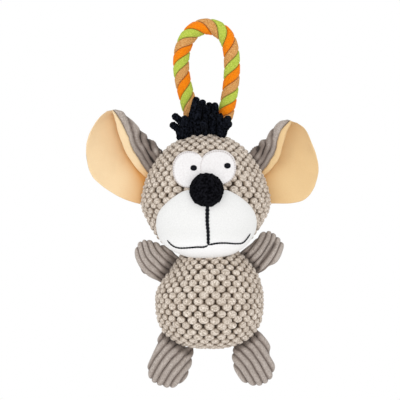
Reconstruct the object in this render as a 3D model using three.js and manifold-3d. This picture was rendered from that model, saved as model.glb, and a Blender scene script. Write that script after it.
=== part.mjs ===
// Stuffed animal dog toy that hangs from a rope loop. Millimetres, +Z up, the face looks toward -Y.
// The origin is the point under the top of the loop where a hook would carry the toy.
// Right and left are the viewer's, looking at the face.
import * as THREE from 'three';
import { mergeVertices } from 'three/addons/utils/BufferGeometryUtils.js';
import Module from 'manifold-3d';

const wasm = await Module();
wasm.setup();

// Clearances
const seamGap = 0.3; // left between two sewn pieces
const softGap = 0.5; // under a padded piece that lies on a curved one, and round the neck
const grooveSides = 16;
const cutOverrun = 40; // how far a cutting block reaches past what it cuts

// Fabric
const plushThickness = 3.2;
const feltThickness = 1.2;
const stitchThickness = 0.9;

// Rope loop: three fabric strands, twisted together. Negative twists slope up to the right, seen from outside.
const ropeRadius = 7.2;
const strandTwists = -6.7;
const strandSides = 8;
const strandEndShares = [0.35, 0.7, 0.92]; // the rounded ends, as shares of the strand's thickness
const socketSides = 16;
const socketLevels = 10;
const ropeSteps = 52;
const ropeFootZ = -90.5; // height at which both ends of the rope enter the head, and about which it tips
const ropeSink = 2.7; // from the head's top down to there
const ropeEndZ = ropeFootZ - ropeRadius;
const ropeRoute = [
  [-14.9, ropeEndZ], [-14.9, ropeFootZ], [-16.4, -75], [-19.3, -59], [-22.0, -44.5], [-23.9, -28.5],
  [-22.5, -13.5], [-17.2, -1.5], [-9.2, 5.2], [0, ropeRadius], [9.2, 5.0], [16.8, -1.5], [21.2, -12.5],
  [22.5, -28.5], [21.6, -44.5], [19.6, -59], [17.4, -75], [14.5, ropeFootZ], [14.5, ropeEndZ],
];

// Swollen forms: a closed bag that is round from above. Its width and depth follow one profile up its height.
// Heights and widths are half sizes from the centre. A fullness over 2 makes a fuller, squarer end.
const headHalfHeight = 56.7;
const head = {
  x: -1.4, z: ropeFootZ + ropeSink - headHalfHeight,
  halfWidth: 57, halfDepth: 50, up: headHalfHeight, down: headHalfHeight,
  fullnessUp: 2, fullnessDown: 2, taper: 0.09, sides: 30, levels: 14,
};
const headOverlap = 14.4; // how deep the head is pressed into the torso's top
const torsoUp = 52.2;
const torsoWidthShare = 0.86; // of the head's
const torso = {
  x: 2.2, z: head.z - head.down + headOverlap - torsoUp,
  halfWidth: torsoWidthShare * head.halfWidth, halfDepth: 42.5, up: torsoUp, down: 43.7,
  fullnessUp: 2, fullnessDown: 2.6, taper: 0, sides: 28, levels: 12,
};

// Neck: a round end of the torso in a round seat of the head
const neckRadius = 18;
const neckRise = 2.2; // of the neck's centre over the head's lowest point
const nodAngle = THREE.MathUtils.degToRad(15);
const nodClearance = 1.9;
const neckSides = 18;
const neckLevels = 12;

// Padded muzzle on the lower front of the head. Its drop and half sizes are shares of the head's.
const muzzleWidthShare = 0.7544;
const muzzleHeightShare = 0.5203;
const muzzle = {
  x: 0.4, dropShare: 0.432, halfWidth: muzzleWidthShare * head.halfWidth,
  halfHeight: muzzleHeightShare * headHalfHeight, bulge: 9, fullness: 2.5, edge: 1.2, points: 26,
  outlineShares: [
    [-0.47, 0.99], [-0.76, 0.78], [-0.94, 0.45], [-1, 0.07], [-0.95, -0.37], [-0.76, -0.69], [-0.38, -0.94],
    [0, -1], [0.39, -0.94], [0.7, -0.74], [0.88, -0.5], [1, -0.13], [1, 0.25], [0.88, 0.57], [0.6, 0.88],
    [0.37, 1], [-0.05, 0.97],
  ],
  ringShares: [0.3, 0.55, 0.76, 0.92, 1],
};

// Nose: a fleece ball that sits on the top edge of the muzzle
const nose = { x: 0.9, riseShare: 0.083, radius: 15.4, stickOut: 9.5, sides: 18, levels: 12 };

// Felt eyes. Their centres, half sizes and pupils' places are shares of the head's half width and half height.
const eyes = {
  left: {
    xShare: -0.277, riseShare: 0.393, widthShare: 0.2333, heightShare: 0.284, pupilShare: 0.098,
    pupilRiseShare: 0.016,
  },
  right: {
    xShare: 0.215, riseShare: 0.423, widthShare: 0.2614, heightShare: 0.2681, pupilShare: 0.112,
    pupilRiseShare: 0.016,
  },
};
const pupil = { halfWidth: 2.85, halfHeight: 2.45, thickness: 1.4 };
const eyePoints = 18;

// Stitched lines on the muzzle: shares of its half width and half height from its middle
const snoutLine = { width: 2.4, pointShares: [[0.03, 0.37], [0.026, 0.017], [0.042, -0.288], [0.047, -0.627]] };
const mouthLine = {
  width: 1.3,
  leftShares: [[-0.805, -0.532], [-0.702, -0.688], [-0.579, -0.763], [-0.405, -0.763], [-0.195, -0.736],
    [-0.037, -0.729]],
  rightShares: [[0.098, -0.681], [0.223, -0.62], [0.409, -0.614], [0.63, -0.637], [0.758, -0.614],
    [0.851, -0.485], [0.921, -0.329]],
};

// Chenille strands on top of the head. Each leaves the head square to it and bends to its own tip.
// foot is [x, y] from the head's centre, tip is [x, y, rise] from the foot.
const hair = {
  radius: 2.8, stem: 7, leanShare: 0.1, sides: 8, steps: 4,
  strands: [
    { foot: [-25, -7.5], tip: [-4.6, -1.5, 15] },
    { foot: [-20.5, -12], tip: [-6.7, -4, 21.4] },
    { foot: [-16, -16], tip: [-2.6, -5, 20.2] },
    { foot: [-12.5, -10.5], tip: [4.7, -13.5, 34] },
    { foot: [-4, -5.5], tip: [1.6, -2.5, 29.8] },
    { foot: [-6, -15.6], tip: [2.4, -2.4, 25.6] },
    { foot: [0.2, -10.2], tip: [0.6, -3.8, 25.2] },
    { foot: [0.1, -16.4], tip: [-2, -11.6, 11.8] },
    { foot: [2.4, -4.2], tip: [1.1, -3, 27.1] },
    { foot: [7.6, -7.6], tip: [0.9, -4, 27.9] },
    { foot: [6.4, -14], tip: [-0.2, -5.8, 18.9] },
    { foot: [12.6, -11.2], tip: [-0.2, -9.4, 19.2] },
    { foot: [14.2, -17.2], tip: [5.8, -6.3, 19] },
    { foot: [19.4, -12.4], tip: [4.4, -5.5, 12.8] },
  ],
};

// Ears: a canvas lining and a corduroy back, cupped, with the upper inner side folded forward.
// Root heights are shares of the head's half height. Outline shares are of the ear's length and height,
// outward and up from the middle of its root.
const ear = {
  lining: 1.1, back: 1.5, stations: 9, rootHalf: 3.4, rootGap: 1.3, cup: 7, foldRise: 4.6, cupsAcross: 4,
  openShare: 0.5, closeShare: 0.6, straightShare: 0.33, bendInShare: 0.3, bendOutShare: 0.7,
  acrossShares: [1, 0.78, 0.56, 0.36, 0.18],
  cupShares: [-0.3, 0.35, 0.8, 1, 0.9],
  stationShares: [0, 0.25, 0.5, 0.75, 1],
};
const ears = {
  left: {
    sign: -1, length: 66.8, height: 69, rootTopShare: 0.69, rootEndShare: -0.13,
    rimShares: [[0.21, -0.41], [0.44, -0.38], [0.72, -0.28], [0.88, -0.12], [0.97, 0.04], [1, 0.26],
      [0.94, 0.48], [0.87, 0.58]],
    foldShares: [[0.09, 0.41], [0.26, 0.47], [0.44, 0.55], [0.55, 0.6], [0.66, 0.65], [0.76, 0.66]],
    flapShares: [0.57, 0.42, 0.31, 0.26, 0.3],
    seamShares: [0.49, 0.29, 0.17, 0.13, 0.16],
  },
  right: {
    sign: 1, length: 54.7, height: 67.8, rootTopShare: 0.67, rootEndShare: -0.11,
    rimShares: [[0.17, -0.43], [0.32, -0.48], [0.51, -0.48], [0.68, -0.42], [0.85, -0.3], [0.96, -0.16],
      [1, 0.16], [0.98, 0.38], [0.9, 0.5]],
    foldShares: [[0.17, 0.41], [0.33, 0.45], [0.46, 0.53], [0.62, 0.58], [0.74, 0.59]],
    flapShares: [0.53, 0.34, 0.24, 0.23, 0.3],
    seamShares: [0.45, 0.24, 0.12, 0.09, 0.12],
  },
};

// Limbs: flat stuffed corduroy paddles. Root heights are shares of the torso's half height above or below
// its centre. Outline shares are of the limb's length and width, outward and up from the root's middle.
const limb = {
  edgeHalf: 1.2, rootGap: 0.65, fullness: 2.2, points: 24, rootPoints: 4, ringShares: [0.4, 0.7, 0.9, 1],
};
const limbs = {
  arm_left: {
    sign: -1, length: 32.4, width: 32, halfDepth: 9.5, rootTopShare: 0.78, rootEndShare: 0.34,
    outlineShares: [[0.22, 0.46], [0.4, 0.43], [0.56, 0.38], [0.74, 0.36], [0.92, 0.26], [1, 0.13],
      [0.98, -0.14], [0.78, -0.36], [0.49, -0.5], [0.26, -0.49]],
  },
  arm_right: {
    sign: 1, length: 35.6, width: 28.6, halfDepth: 9.5, rootTopShare: 0.82, rootEndShare: 0.44,
    outlineShares: [[0.33, 0.42], [0.52, 0.46], [0.73, 0.49], [0.89, 0.37], [0.97, 0.18], [1, -0.1],
      [0.97, -0.22], [0.79, -0.39], [0.57, -0.5], [0.34, -0.46], [0.18, -0.47]],
  },
  leg_left: {
    sign: -1, length: 42, width: 40.6, halfDepth: 10.5, rootTopShare: -0.65, rootEndShare: -0.95,
    outlineShares: [[0.18, 0.3], [0.32, 0.24], [0.54, 0.2], [0.8, 0.15], [0.9, 0.06], [0.98, -0.04],
      [1, -0.2], [0.97, -0.35], [0.89, -0.51], [0.75, -0.63], [0.62, -0.7], [0.45, -0.7], [0.3, -0.64],
      [0.15, -0.57], [0.06, -0.47]],
  },
  leg_right: {
    sign: 1, length: 42.8, width: 38.4, halfDepth: 10.5, rootTopShare: -0.62, rootEndShare: -0.95,
    outlineShares: [[0.16, 0.39], [0.4, 0.37], [0.52, 0.29], [0.74, 0.24], [0.89, 0.12], [0.99, -0.05],
      [1, -0.24], [0.94, -0.4], [0.81, -0.52], [0.7, -0.6], [0.52, -0.61], [0.35, -0.59], [0.22, -0.53],
      [0.09, -0.45]],
  },
};

// Squeaker: a hollow bulb with a reed in its mouth, deep in the torso's filling. The bulb's profile is in
// shares of its radius and half depth.
const squeaker = {
  drop: 6, radius: 17, depth: 22, wall: 1.3, mouthRadius: 4.5, mouthDepth: 4, reedBore: 1.2,
  sides: 24, reedSides: 12,
  outsideShares: [[0, -1], [0.7, -0.9], [1, -0.2], [0.85, 0.3]],
  insideShares: [[0.82, 0.2], [1, -0.2], [0.7, -0.9]],
};

// Fabrics
function fabric(color, roughness) {
  return new THREE.MeshStandardMaterial({ color, roughness, metalness: 0 });
}
const plushGrey = fabric('#b9ada0', 0.95);
const corduroyGrey = fabric('#a0948c', 0.9);
const canvasTan = fabric('#e6c795', 0.85);
const feltWhite = fabric('#f4f3f3', 0.9);
const muzzleWhite = fabric('#f8f8f8', 0.85);
const fleeceBlack = fabric('#141419', 0.98);
const threadBlack = fabric('#18181c', 0.8);
const fillingWhite = fabric('#eeeae4', 1);
const bulbPlastic = fabric('#dcdcd6', 0.45);
const strandFabrics = {
  orange: fabric('#f98a12', 0.85),
  green: fabric('#c0cc5c', 0.85),
  tan: fabric('#dc9d58', 0.85),
};

const toy = new THREE.Group();

function add(name, geometry, material) {
  const mesh = new THREE.Mesh(geometry, material);
  mesh.name = name;
  toy.add(mesh);
  return mesh;
}

// Solids from points

function triangles(points, faces) {
  const geometry = new THREE.BufferGeometry();
  geometry.setAttribute('position', new THREE.Float32BufferAttribute(points.flatMap((p) => p.toArray()), 3));
  let volume = 0;
  for (const [a, b, c] of faces) {
    volume += points[a].dot(new THREE.Vector3().crossVectors(points[b], points[c]));
  }
  const outward = volume > 0 ? faces : faces.map(([a, b, c]) => [a, c, b]);
  geometry.setIndex(outward.flat());
  return geometry;
}

// Skin over a row of rings, each a list of points. Each end closes on one point or, where a ring goes along one
// side of a band and back along the other, on the pairs of points that face each other.
const acrossBand = 'across the band';
function loft(rings, ends) {
  const points = rings.flat();
  const faces = [];
  const count = rings[0].length;
  for (let r = 0; r + 1 < rings.length; r++) {
    for (let i = 0; i < count; i++) {
      const j = (i + 1) % count;
      const a = r * count + i;
      const b = r * count + j;
      // Both sides of a band are split along the same diagonals, so that two bands can lie face to face.
      const farSide = ends[0] === acrossBand && 2 * i >= count;
      faces.push(...(farSide
        ? [[a, b, a + count], [b, b + count, a + count]]
        : [[a, b, b + count], [a, b + count, a + count]]));
    }
  }
  const closeEnd = (first, end, flip) => {
    if (end !== acrossBand) {
      points.push(end);
      for (let i = 0; i < count; i++) {
        const face = [first + (i + 1) % count, first + i, points.length - 1];
        faces.push(flip ? face.reverse() : face);
      }
      return;
    }
    for (let i = 0; i + 1 < count / 2; i++) {
      const [a, b, c, d] = [i, i + 1, count - 2 - i, count - 1 - i].map((k) => first + k);
      faces.push(...(flip ? [[a, b, c], [a, c, d]] : [[c, b, a], [d, c, a]]));
    }
  };
  closeEnd(0, ends[0], false);
  closeEnd((rings.length - 1) * count, ends[1], true);
  return triangles(points, faces);
}

function toSolid(geometry) {
  const bare = geometry.clone();
  bare.deleteAttribute('normal');
  bare.deleteAttribute('uv');
  const merged = mergeVertices(bare);
  return new wasm.Manifold(new wasm.Mesh({
    numProp: 3,
    vertProperties: new Float32Array(merged.attributes.position.array),
    triVerts: new Uint32Array(merged.index.array),
  }));
}

function toGeometry(solid) {
  const mesh = solid.getMesh();
  const geometry = new THREE.BufferGeometry();
  geometry.setAttribute('position', new THREE.BufferAttribute(mesh.vertProperties, 3));
  geometry.setIndex(new THREE.BufferAttribute(mesh.triVerts, 1));
  geometry.computeVertexNormals();
  return geometry;
}

function ball(radius, x, y, z, sides, levels) {
  const geometry = new THREE.SphereGeometry(radius, sides, levels);
  geometry.rotateX(Math.PI / 2);
  geometry.translate(x, y, z);
  return toSolid(geometry);
}

// Everything in front of the plane y = limit, or behind it.
function halfSpace(form, limit, front) {
  const size = 2 * (form.halfWidth + form.up + form.down + cutOverrun);
  const block = new THREE.BoxGeometry(size, size, size);
  block.translate(form.x, limit + (front ? -size : size) / 2, form.z);
  return toSolid(block);
}

// Swollen forms

function halfWidthAt(form, share) {
  const fullness = share < 0 ? form.fullnessDown : form.fullnessUp;
  return form.halfWidth * (1 - Math.abs(share) ** fullness) ** (1 / fullness) * (1 - form.taper * share);
}

function heightAt(form, share) {
  return form.z + share * (share < 0 ? form.down : form.up);
}

// The form as a closed geometry, drawn in by inset all over. A negative inset makes it larger.
function swollen(form, inset, sides = form.sides, levels = form.levels) {
  const rings = [];
  const drawnIn = (size) => (size - inset) / size;
  for (let level = 1; level < levels; level++) {
    const angle = -Math.PI / 2 + Math.PI * level / levels;
    const fullness = angle < 0 ? form.fullnessDown : form.fullnessUp;
    const share = Math.sign(angle) * Math.abs(Math.sin(angle)) ** (2 / fullness);
    const half = halfWidthAt(form, share);
    const tall = share < 0 ? form.down : form.up;
    rings.push(Array.from({ length: sides }, (_, i) => {
      const turn = 2 * Math.PI * i / sides;
      return new THREE.Vector3(
        form.x + half * drawnIn(form.halfWidth) * Math.cos(turn),
        half * form.halfDepth / form.halfWidth * drawnIn(form.halfDepth) * Math.sin(turn),
        form.z + share * (tall - inset),
      );
    }));
  }
  return loft(rings, [
    new THREE.Vector3(form.x, 0, form.z - form.down + inset),
    new THREE.Vector3(form.x, 0, form.z + form.up - inset),
  ]);
}

// The form's outline seen from the front, at a share of its half height.
function outlineAt(form, sign, share) {
  return new THREE.Vector2(form.x + sign * halfWidthAt(form, share), heightAt(form, share));
}

// A point on the front of the form, lifted off it along its normal.
function onFront(form, x, z, lift) {
  const depthAt = (atX, atZ) => {
    const share = (atZ - form.z) / (atZ < form.z ? form.down : form.up);
    const half = halfWidthAt(form, THREE.MathUtils.clamp(share, -1, 1));
    const across = half > 0 ? (atX - form.x) / half : 1;
    return half * form.halfDepth / form.halfWidth * Math.sqrt(Math.max(0, 1 - across * across));
  };
  const step = form.halfWidth / form.sides / form.sides;
  const slopeX = (depthAt(x + step, z) - depthAt(x - step, z)) / (2 * step);
  const slopeZ = (depthAt(x, z + step) - depthAt(x, z - step)) / (2 * step);
  const normal = new THREE.Vector3(-slopeX, -1, -slopeZ).normalize();
  return new THREE.Vector3(x, -depthAt(x, z), z).addScaledVector(normal, lift);
}

function smoothLoop(corners, count) {
  const curve = new THREE.CatmullRomCurve3(corners.map(([x, z]) => new THREE.Vector3(x, 0, z)), true);
  return curve.getSpacedPoints(count).slice(0, count).map((p) => new THREE.Vector2(p.x, p.z));
}

// Rope loop

const ropeLine = new THREE.CatmullRomCurve3(ropeRoute.map(([x, z]) => new THREE.Vector3(x, 0, z)));
const ropeLength = ropeLine.getLength();
// Three round strands that touch fill a rope of this share each.
const strandShare = 1 / (1 + 2 / Math.sqrt(3));
const strandRadius = ropeRadius * strandShare - seamGap / 2;
const strandOrbit = ropeRadius * (1 - strandShare);

function ropeStrand(phase) {
  const rings = [];
  for (let step = 0; step <= ropeSteps; step++) {
    const along = ropeRadius + (ropeLength - 2 * ropeRadius) * step / ropeSteps;
    rings.push({ along, size: 1 });
  }
  const tail = strandEndShares.map((size) => ({ size, drop: ropeRadius * Math.sqrt(1 - size * size) }));
  for (const { size, drop } of tail.reverse()) {
    rings.unshift({ along: ropeRadius - drop, size });
    rings.push({ along: ropeLength - ropeRadius + drop, size });
  }
  const sections = rings.map(({ along, size }) => {
    const share = THREE.MathUtils.clamp(along / ropeLength, 0, 1);
    const centre = ropeLine.getPointAt(share);
    const tangent = ropeLine.getTangentAt(share);
    const side = new THREE.Vector3(0, -1, 0);
    const outward = new THREE.Vector3().crossVectors(tangent, side);
    const turn = phase + 2 * Math.PI * strandTwists * share;
    const place = (radius, angle, from) => from.clone()
      .addScaledVector(outward, radius * Math.cos(angle))
      .addScaledVector(side, radius * Math.sin(angle));
    const middle = place(strandOrbit * size, turn, centre);
    return Array.from({ length: strandSides }, (_, i) => (
      place(strandRadius * size, turn + Math.sign(strandTwists) * 2 * Math.PI * i / strandSides, middle)));
  });
  const middleOf = (ring) => ring.reduce((sum, p) => sum.add(p), new THREE.Vector3()).divideScalar(ring.length);
  return loft(sections, [middleOf(sections[0]), middleOf(sections.at(-1))]);
}

Object.entries(strandFabrics).forEach(([colour, material], i) => {
  add(`rope_strand_${colour}`, ropeStrand(2 * Math.PI * i / Object.keys(strandFabrics).length), material);
});

// Roots of ears and limbs: the seam follows the outline of what carries it, and bends about a straight line
// that touches the middle of the seam.
function rootLine(carrier, piece, gap, half) {
  const points = [];
  const steps = limb.rootPoints;
  for (let i = 0; i <= steps; i++) {
    const share = THREE.MathUtils.lerp(piece.rootTopShare, piece.rootEndShare, i / steps);
    const on = outlineAt(carrier, piece.sign, share);
    const step = (piece.rootTopShare - piece.rootEndShare) / steps / steps;
    const along = outlineAt(carrier, piece.sign, share + step)
      .sub(outlineAt(carrier, piece.sign, share - step));
    const normal = new THREE.Vector2(along.y, -along.x).normalize().multiplyScalar(piece.sign);
    points.push(on.addScaledVector(normal, gap));
  }
  const top = points[0];
  const end = points.at(-1);
  const up = top.clone().sub(end).normalize();
  const out = new THREE.Vector2(up.y, -up.x).multiplyScalar(piece.sign);
  const middle = top.clone().add(end).divideScalar(2);
  const reach = Math.max(...points.map((p) => p.clone().sub(middle).dot(out)));
  const hinge = middle.clone().addScaledVector(out, reach);
  return { points, up, out, middle, hinge, half };
}

// The groove in the carrier's skin where the root turns: the room that the root sweeps about its hinge line.
function rootGroove(root) {
  const sweep = root.points.map((p) => {
    const from = p.clone().sub(root.hinge);
    return new THREE.Vector2(Math.hypot(from.dot(root.out), root.half) + seamGap, from.dot(root.up));
  });
  const ends = [sweep[0].y + root.half, sweep.at(-1).y - root.half];
  const profile = [
    new THREE.Vector2(0, ends[1]), new THREE.Vector2(sweep.at(-1).x, ends[1]), ...sweep.reverse(),
    new THREE.Vector2(sweep.at(-1).x, ends[0]), new THREE.Vector2(0, ends[0]),
  ];
  const room = new THREE.LatheGeometry(profile, grooveSides);
  room.rotateX(Math.PI / 2);
  room.rotateY(Math.atan2(root.up.x, root.up.y));
  room.translate(root.hinge.x, 0, root.hinge.y);
  return toSolid(room);
}

function rootLines(pieces, carrier, gap, half) {
  return Object.fromEntries(
    Object.entries(pieces).map(([name, piece]) => [name, rootLine(carrier, piece, gap, half)]));
}
const earRoots = rootLines(ears, head, ear.rootGap, ear.rootHalf);
const limbRoots = rootLines(limbs, torso, limb.rootGap, limb.edgeHalf);

// Head: two plush panels over the filling

const neckZ = head.z - head.down + neckRise;
const ropeFeet = [ropeRoute[0], ropeRoute.at(-1)];
const innerLevels = 10;
const innerSides = 22;

function cutAll(solid, cutters) {
  return cutters.reduce((left, cutter) => left.subtract(cutter), solid);
}

function neckSeat(gap) {
  return ball(neckRadius + gap, head.x, 0, neckZ, neckSides, neckLevels);
}

function ropeSockets(gap) {
  return ropeFeet.map(([x]) => ball(ropeRadius + gap, x, 0, ropeFootZ, socketSides, socketLevels));
}

const headInside = toSolid(swollen(head, plushThickness, innerSides, innerLevels));
const headSkin = cutAll(toSolid(swollen(head, 0)), [
  headInside,
  neckSeat(softGap),
  ...ropeSockets(softGap),
  ...Object.values(earRoots).map(rootGroove),
]);
add('head_front_panel', toGeometry(headSkin.intersect(halfSpace(head, -seamGap / 2, true))), plushGrey);
add('head_back_panel', toGeometry(headSkin.intersect(halfSpace(head, seamGap / 2, false))), plushGrey);

const headFilling = cutAll(toSolid(swollen(head, plushThickness + seamGap, innerSides, innerLevels)), [
  neckSeat(softGap + seamGap),
  ...ropeSockets(softGap + seamGap),
]);
add('head_filling', toGeometry(headFilling), fillingWhite);

// Muzzle: a padded patch whose back follows the head

const muzzleOutline = smoothLoop(
  muzzle.outlineShares.map(([x, z]) => [x * muzzle.halfWidth, z * muzzle.halfHeight]), muzzle.points);
const muzzleMiddle = new THREE.Vector2(head.x + muzzle.x, head.z - muzzle.dropShare * head.down);

// How far the muzzle stands off the head at a share of the way to its rim.
function muzzleLift(share) {
  return softGap + muzzle.edge + muzzle.bulge * Math.sqrt(1 - share ** muzzle.fullness);
}

function muzzleForm(grow) {
  const ringAt = (share, lift) => muzzleOutline.map((p) => {
    const reach = (p.length() + grow) / p.length() * share;
    return onFront(head, muzzleMiddle.x + p.x * reach, muzzleMiddle.y + p.y * reach, lift);
  });
  const front = muzzle.ringShares.map((share) => ringAt(share, muzzleLift(share) + grow));
  const back = muzzle.ringShares.map((share) => ringAt(share, softGap - 2 * grow));
  return loft([...front, ...back.reverse()], [
    onFront(head, muzzleMiddle.x, muzzleMiddle.y, muzzleLift(0) + grow),
    onFront(head, muzzleMiddle.x, muzzleMiddle.y, softGap - 2 * grow),
  ]);
}
const muzzlePad = toSolid(muzzleForm(0)).subtract(neckSeat(softGap));
add('muzzle', toGeometry(muzzlePad), muzzleWhite);

// The point of the muzzle's face that is seen at x, z.
const muzzleTries = 8;
function onMuzzle(x, z, lift) {
  const target = new THREE.Vector2(x, z);
  const guess = target.clone();
  let point;
  for (let i = 0; i < muzzleTries; i++) {
    const offset = guess.clone().sub(muzzleMiddle);
    const angle = offset.angle();
    const rim = muzzleOutline.reduce((best, p) => (
      Math.cos(p.angle() - angle) > Math.cos(best.angle() - angle) ? p : best));
    const share = Math.min(1, offset.length() / rim.length());
    point = onFront(head, guess.x, guess.y, muzzleLift(share) + lift);
    guess.add(target.clone().sub(new THREE.Vector2(point.x, point.z)));
  }
  return point;
}

// A stitched line: a flat ribbon that follows the muzzle's face.
function stitchedLine(shares, width) {
  const curve = new THREE.CatmullRomCurve3(shares.map(([x, z]) => (
    new THREE.Vector3(muzzleMiddle.x + x * muzzle.halfWidth, 0, muzzleMiddle.y + z * muzzle.halfHeight))));
  const steps = 2 * shares.length;
  const rings = [];
  for (let i = 0; i <= steps; i++) {
    const at = curve.getPointAt(i / steps);
    const along = curve.getTangentAt(i / steps);
    const across = new THREE.Vector3(-along.z, 0, along.x).multiplyScalar(width / 2);
    const low = softGap;
    const high = softGap + stitchThickness;
    rings.push([
      onMuzzle(at.x - across.x, at.z - across.z, low),
      onMuzzle(at.x + across.x, at.z + across.z, low),
      onMuzzle(at.x + across.x, at.z + across.z, high),
      onMuzzle(at.x - across.x, at.z - across.z, high),
    ]);
  }
  const middleOf = (ring) => ring.reduce((sum, p) => sum.add(p), new THREE.Vector3()).divideScalar(ring.length);
  return loft(rings, [middleOf(rings[0]), middleOf(rings.at(-1))]);
}
add('snout_line', stitchedLine(snoutLine.pointShares, snoutLine.width), threadBlack);
add('mouth_line_left', stitchedLine(mouthLine.leftShares, mouthLine.width), threadBlack);
add('mouth_line_right', stitchedLine(mouthLine.rightShares, mouthLine.width), threadBlack);

// Eyes: felt ovals that follow the head. The right one lies beside the left where they meet.

function oval(x, z, halfWidth, halfHeight, low, high, ringShares) {
  const ringAt = (share, lift) => Array.from({ length: eyePoints }, (_, i) => {
    const turn = 2 * Math.PI * i / eyePoints;
    return onFront(
      head, x + halfWidth * share * Math.cos(turn), z + halfHeight * share * Math.sin(turn), lift);
  });
  return loft([
    ...ringShares.map((share) => ringAt(share, high)),
    ...ringShares.map((share) => ringAt(share, low)).reverse(),
  ], [onFront(head, x, z, high), onFront(head, x, z, low)]);
}

const feltRingShares = [0.5, 1];
for (const eye of Object.values(eyes)) {
  eye.centreX = head.x + eye.xShare * head.halfWidth;
  eye.centreZ = head.z + eye.riseShare * head.up;
  eye.halfWidth = eye.widthShare * head.halfWidth;
  eye.halfHeight = eye.heightShare * head.up;
}
function eyePatch(eye, grow) {
  return oval(
    eye.centreX, eye.centreZ, eye.halfWidth + grow, eye.halfHeight + grow,
    softGap - grow, softGap + feltThickness + grow, feltRingShares);
}
const leftPatch = toSolid(eyePatch(eyes.left, 0));
const rightPatch = toSolid(eyePatch(eyes.right, 0)).subtract(toSolid(eyePatch(eyes.left, softGap)));
const muzzleSpace = toSolid(muzzleForm(softGap));
const noseX = head.x + nose.x;
const noseZ = head.z + nose.riseShare * head.up;
const noseY = onFront(head, noseX, noseZ, nose.stickOut).y;
add('eye_patch_left', toGeometry(leftPatch.subtract(muzzleSpace)), feltWhite);
add('eye_patch_right', toGeometry(rightPatch.subtract(muzzleSpace)), feltWhite);
for (const [side, eye] of Object.entries(eyes)) {
  const base = 2 * softGap + feltThickness;
  add(`pupil_${side}`, oval(
    eye.centreX + eye.pupilShare * head.halfWidth, eye.centreZ + eye.pupilRiseShare * head.up,
    pupil.halfWidth, pupil.halfHeight,
    base, base + pupil.thickness, feltRingShares.slice(1)), threadBlack);
}

const noseBall = ball(nose.radius, noseX, noseY, noseZ, nose.sides, nose.levels);
add('nose', toGeometry(cutAll(noseBall, [
  toSolid(swollen(head, -softGap)),
  muzzleSpace,
  toSolid(eyePatch(eyes.left, softGap)),
  toSolid(eyePatch(eyes.right, softGap)),
])), fleeceBlack);

// Hair: chenille strands in a tuft round the foot of the rope

const topTries = 60;
function onTop(x, y, lift) {
  const inside = (z) => {
    const half = halfWidthAt(head, (z - head.z) / head.up);
    return half > 0 && (x / half) ** 2 + (y * head.halfWidth / head.halfDepth / half) ** 2 < 1;
  };
  let low = 0;
  let high = head.up;
  for (let i = 0; i < topTries; i++) {
    const middle = (low + high) / 2;
    if (inside(head.z + middle)) {
      low = middle;
    } else {
      high = middle;
    }
  }
  const normal = new THREE.Vector3(
    x / head.halfWidth ** 2, y / head.halfDepth ** 2, low / head.up ** 2).normalize();
  return { point: new THREE.Vector3(head.x + x, y, head.z + low).addScaledVector(normal, lift), normal };
}

hair.strands.forEach(({ foot, tip }, i) => {
  const { point, normal } = onTop(foot[0], foot[1], 2 * seamGap);
  const curve = new THREE.CatmullRomCurve3([
    point,
    point.clone().addScaledVector(normal, hair.stem)
      .add(new THREE.Vector3(tip[0], tip[1], 0).multiplyScalar(hair.leanShare)),
    point.clone().add(new THREE.Vector3(...tip)),
  ]);
  const section = new THREE.Shape(Array.from({ length: hair.sides }, (_, side) => {
    const turn = 2 * Math.PI * side / hair.sides;
    return new THREE.Vector2(hair.radius * Math.cos(turn), hair.radius * Math.sin(turn));
  }));
  const strand = new THREE.ExtrudeGeometry(
    section, { steps: hair.steps, extrudePath: curve, bevelEnabled: false });
  add(`hair_strand_${i + 1}`, toGeometry(toSolid(strand)), fleeceBlack);
});

// Ears

function sampled(shares, tables, at) {
  const last = shares.length - 1;
  const i = Math.min(last - 1, shares.findLastIndex((share) => share <= at));
  return THREE.MathUtils.lerp(tables[i], tables[i + 1], (at - shares[i]) / (shares[i + 1] - shares[i]));
}

// Sections from the root to the tip. Each is a bent line from the rim, through the cup and the fold, to the
// free edge of the flap: in [inward, forward] from the fold.
function earSections(one, root) {
  const place = ([out, up]) => root.middle.clone()
    .addScaledVector(root.out, out * one.length)
    .addScaledVector(root.up, up * one.height);
  const line = (first, shares) => new THREE.CatmullRomCurve3(
    [first, ...shares.map(place)].map((p) => new THREE.Vector3(p.x, 0, p.y)));
  const rim = line(root.points.at(-1), one.rimShares);
  const fold = line(root.points[0], one.foldShares);
  const rootCurve = new THREE.CatmullRomCurve3(root.points.map((p) => new THREE.Vector3(p.x, 0, p.y)));
  const sections = [];
  for (let i = 0; i < ear.stations; i++) {
    const share = i / (ear.stations - 1);
    const from = fold.getPointAt(share);
    const to = rim.getPointAt(share);
    const width = from.distanceTo(to);
    const opening = THREE.MathUtils.smoothstep(share, 0, ear.openShare);
    const closing = 1 - THREE.MathUtils.smoothstep(share, ear.closeShare, 1);
    const cup = ear.cup * opening * Math.min(1, width / ear.cup / ear.cupsAcross);
    const rise = ear.foldRise * opening * closing;
    const bend = (rise + seamGap) / 2;
    const seam = Math.max(sampled(ear.stationShares, one.seamShares, share) * width, bend + 2 * seamGap);
    const flap = Math.max(sampled(ear.stationShares, one.flapShares, share) * width, seam + 3 * seamGap);
    const line2d = [
      ...ear.acrossShares.map((across, j) => [across * width, -cup * ear.cupShares[j] - bend]),
      [bend, -bend],
      [bend * ear.bendInShare, -bend * ear.bendOutShare],
      [0, 0],
      [bend * ear.bendInShare, bend * ear.bendOutShare],
      [bend, bend],
      [seam - seamGap, bend],
      [seam + seamGap, bend],
      [flap, bend],
    ];
    sections.push({ from, to, width, share, line2d });
  }
  return { sections, rootCurve };
}

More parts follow.
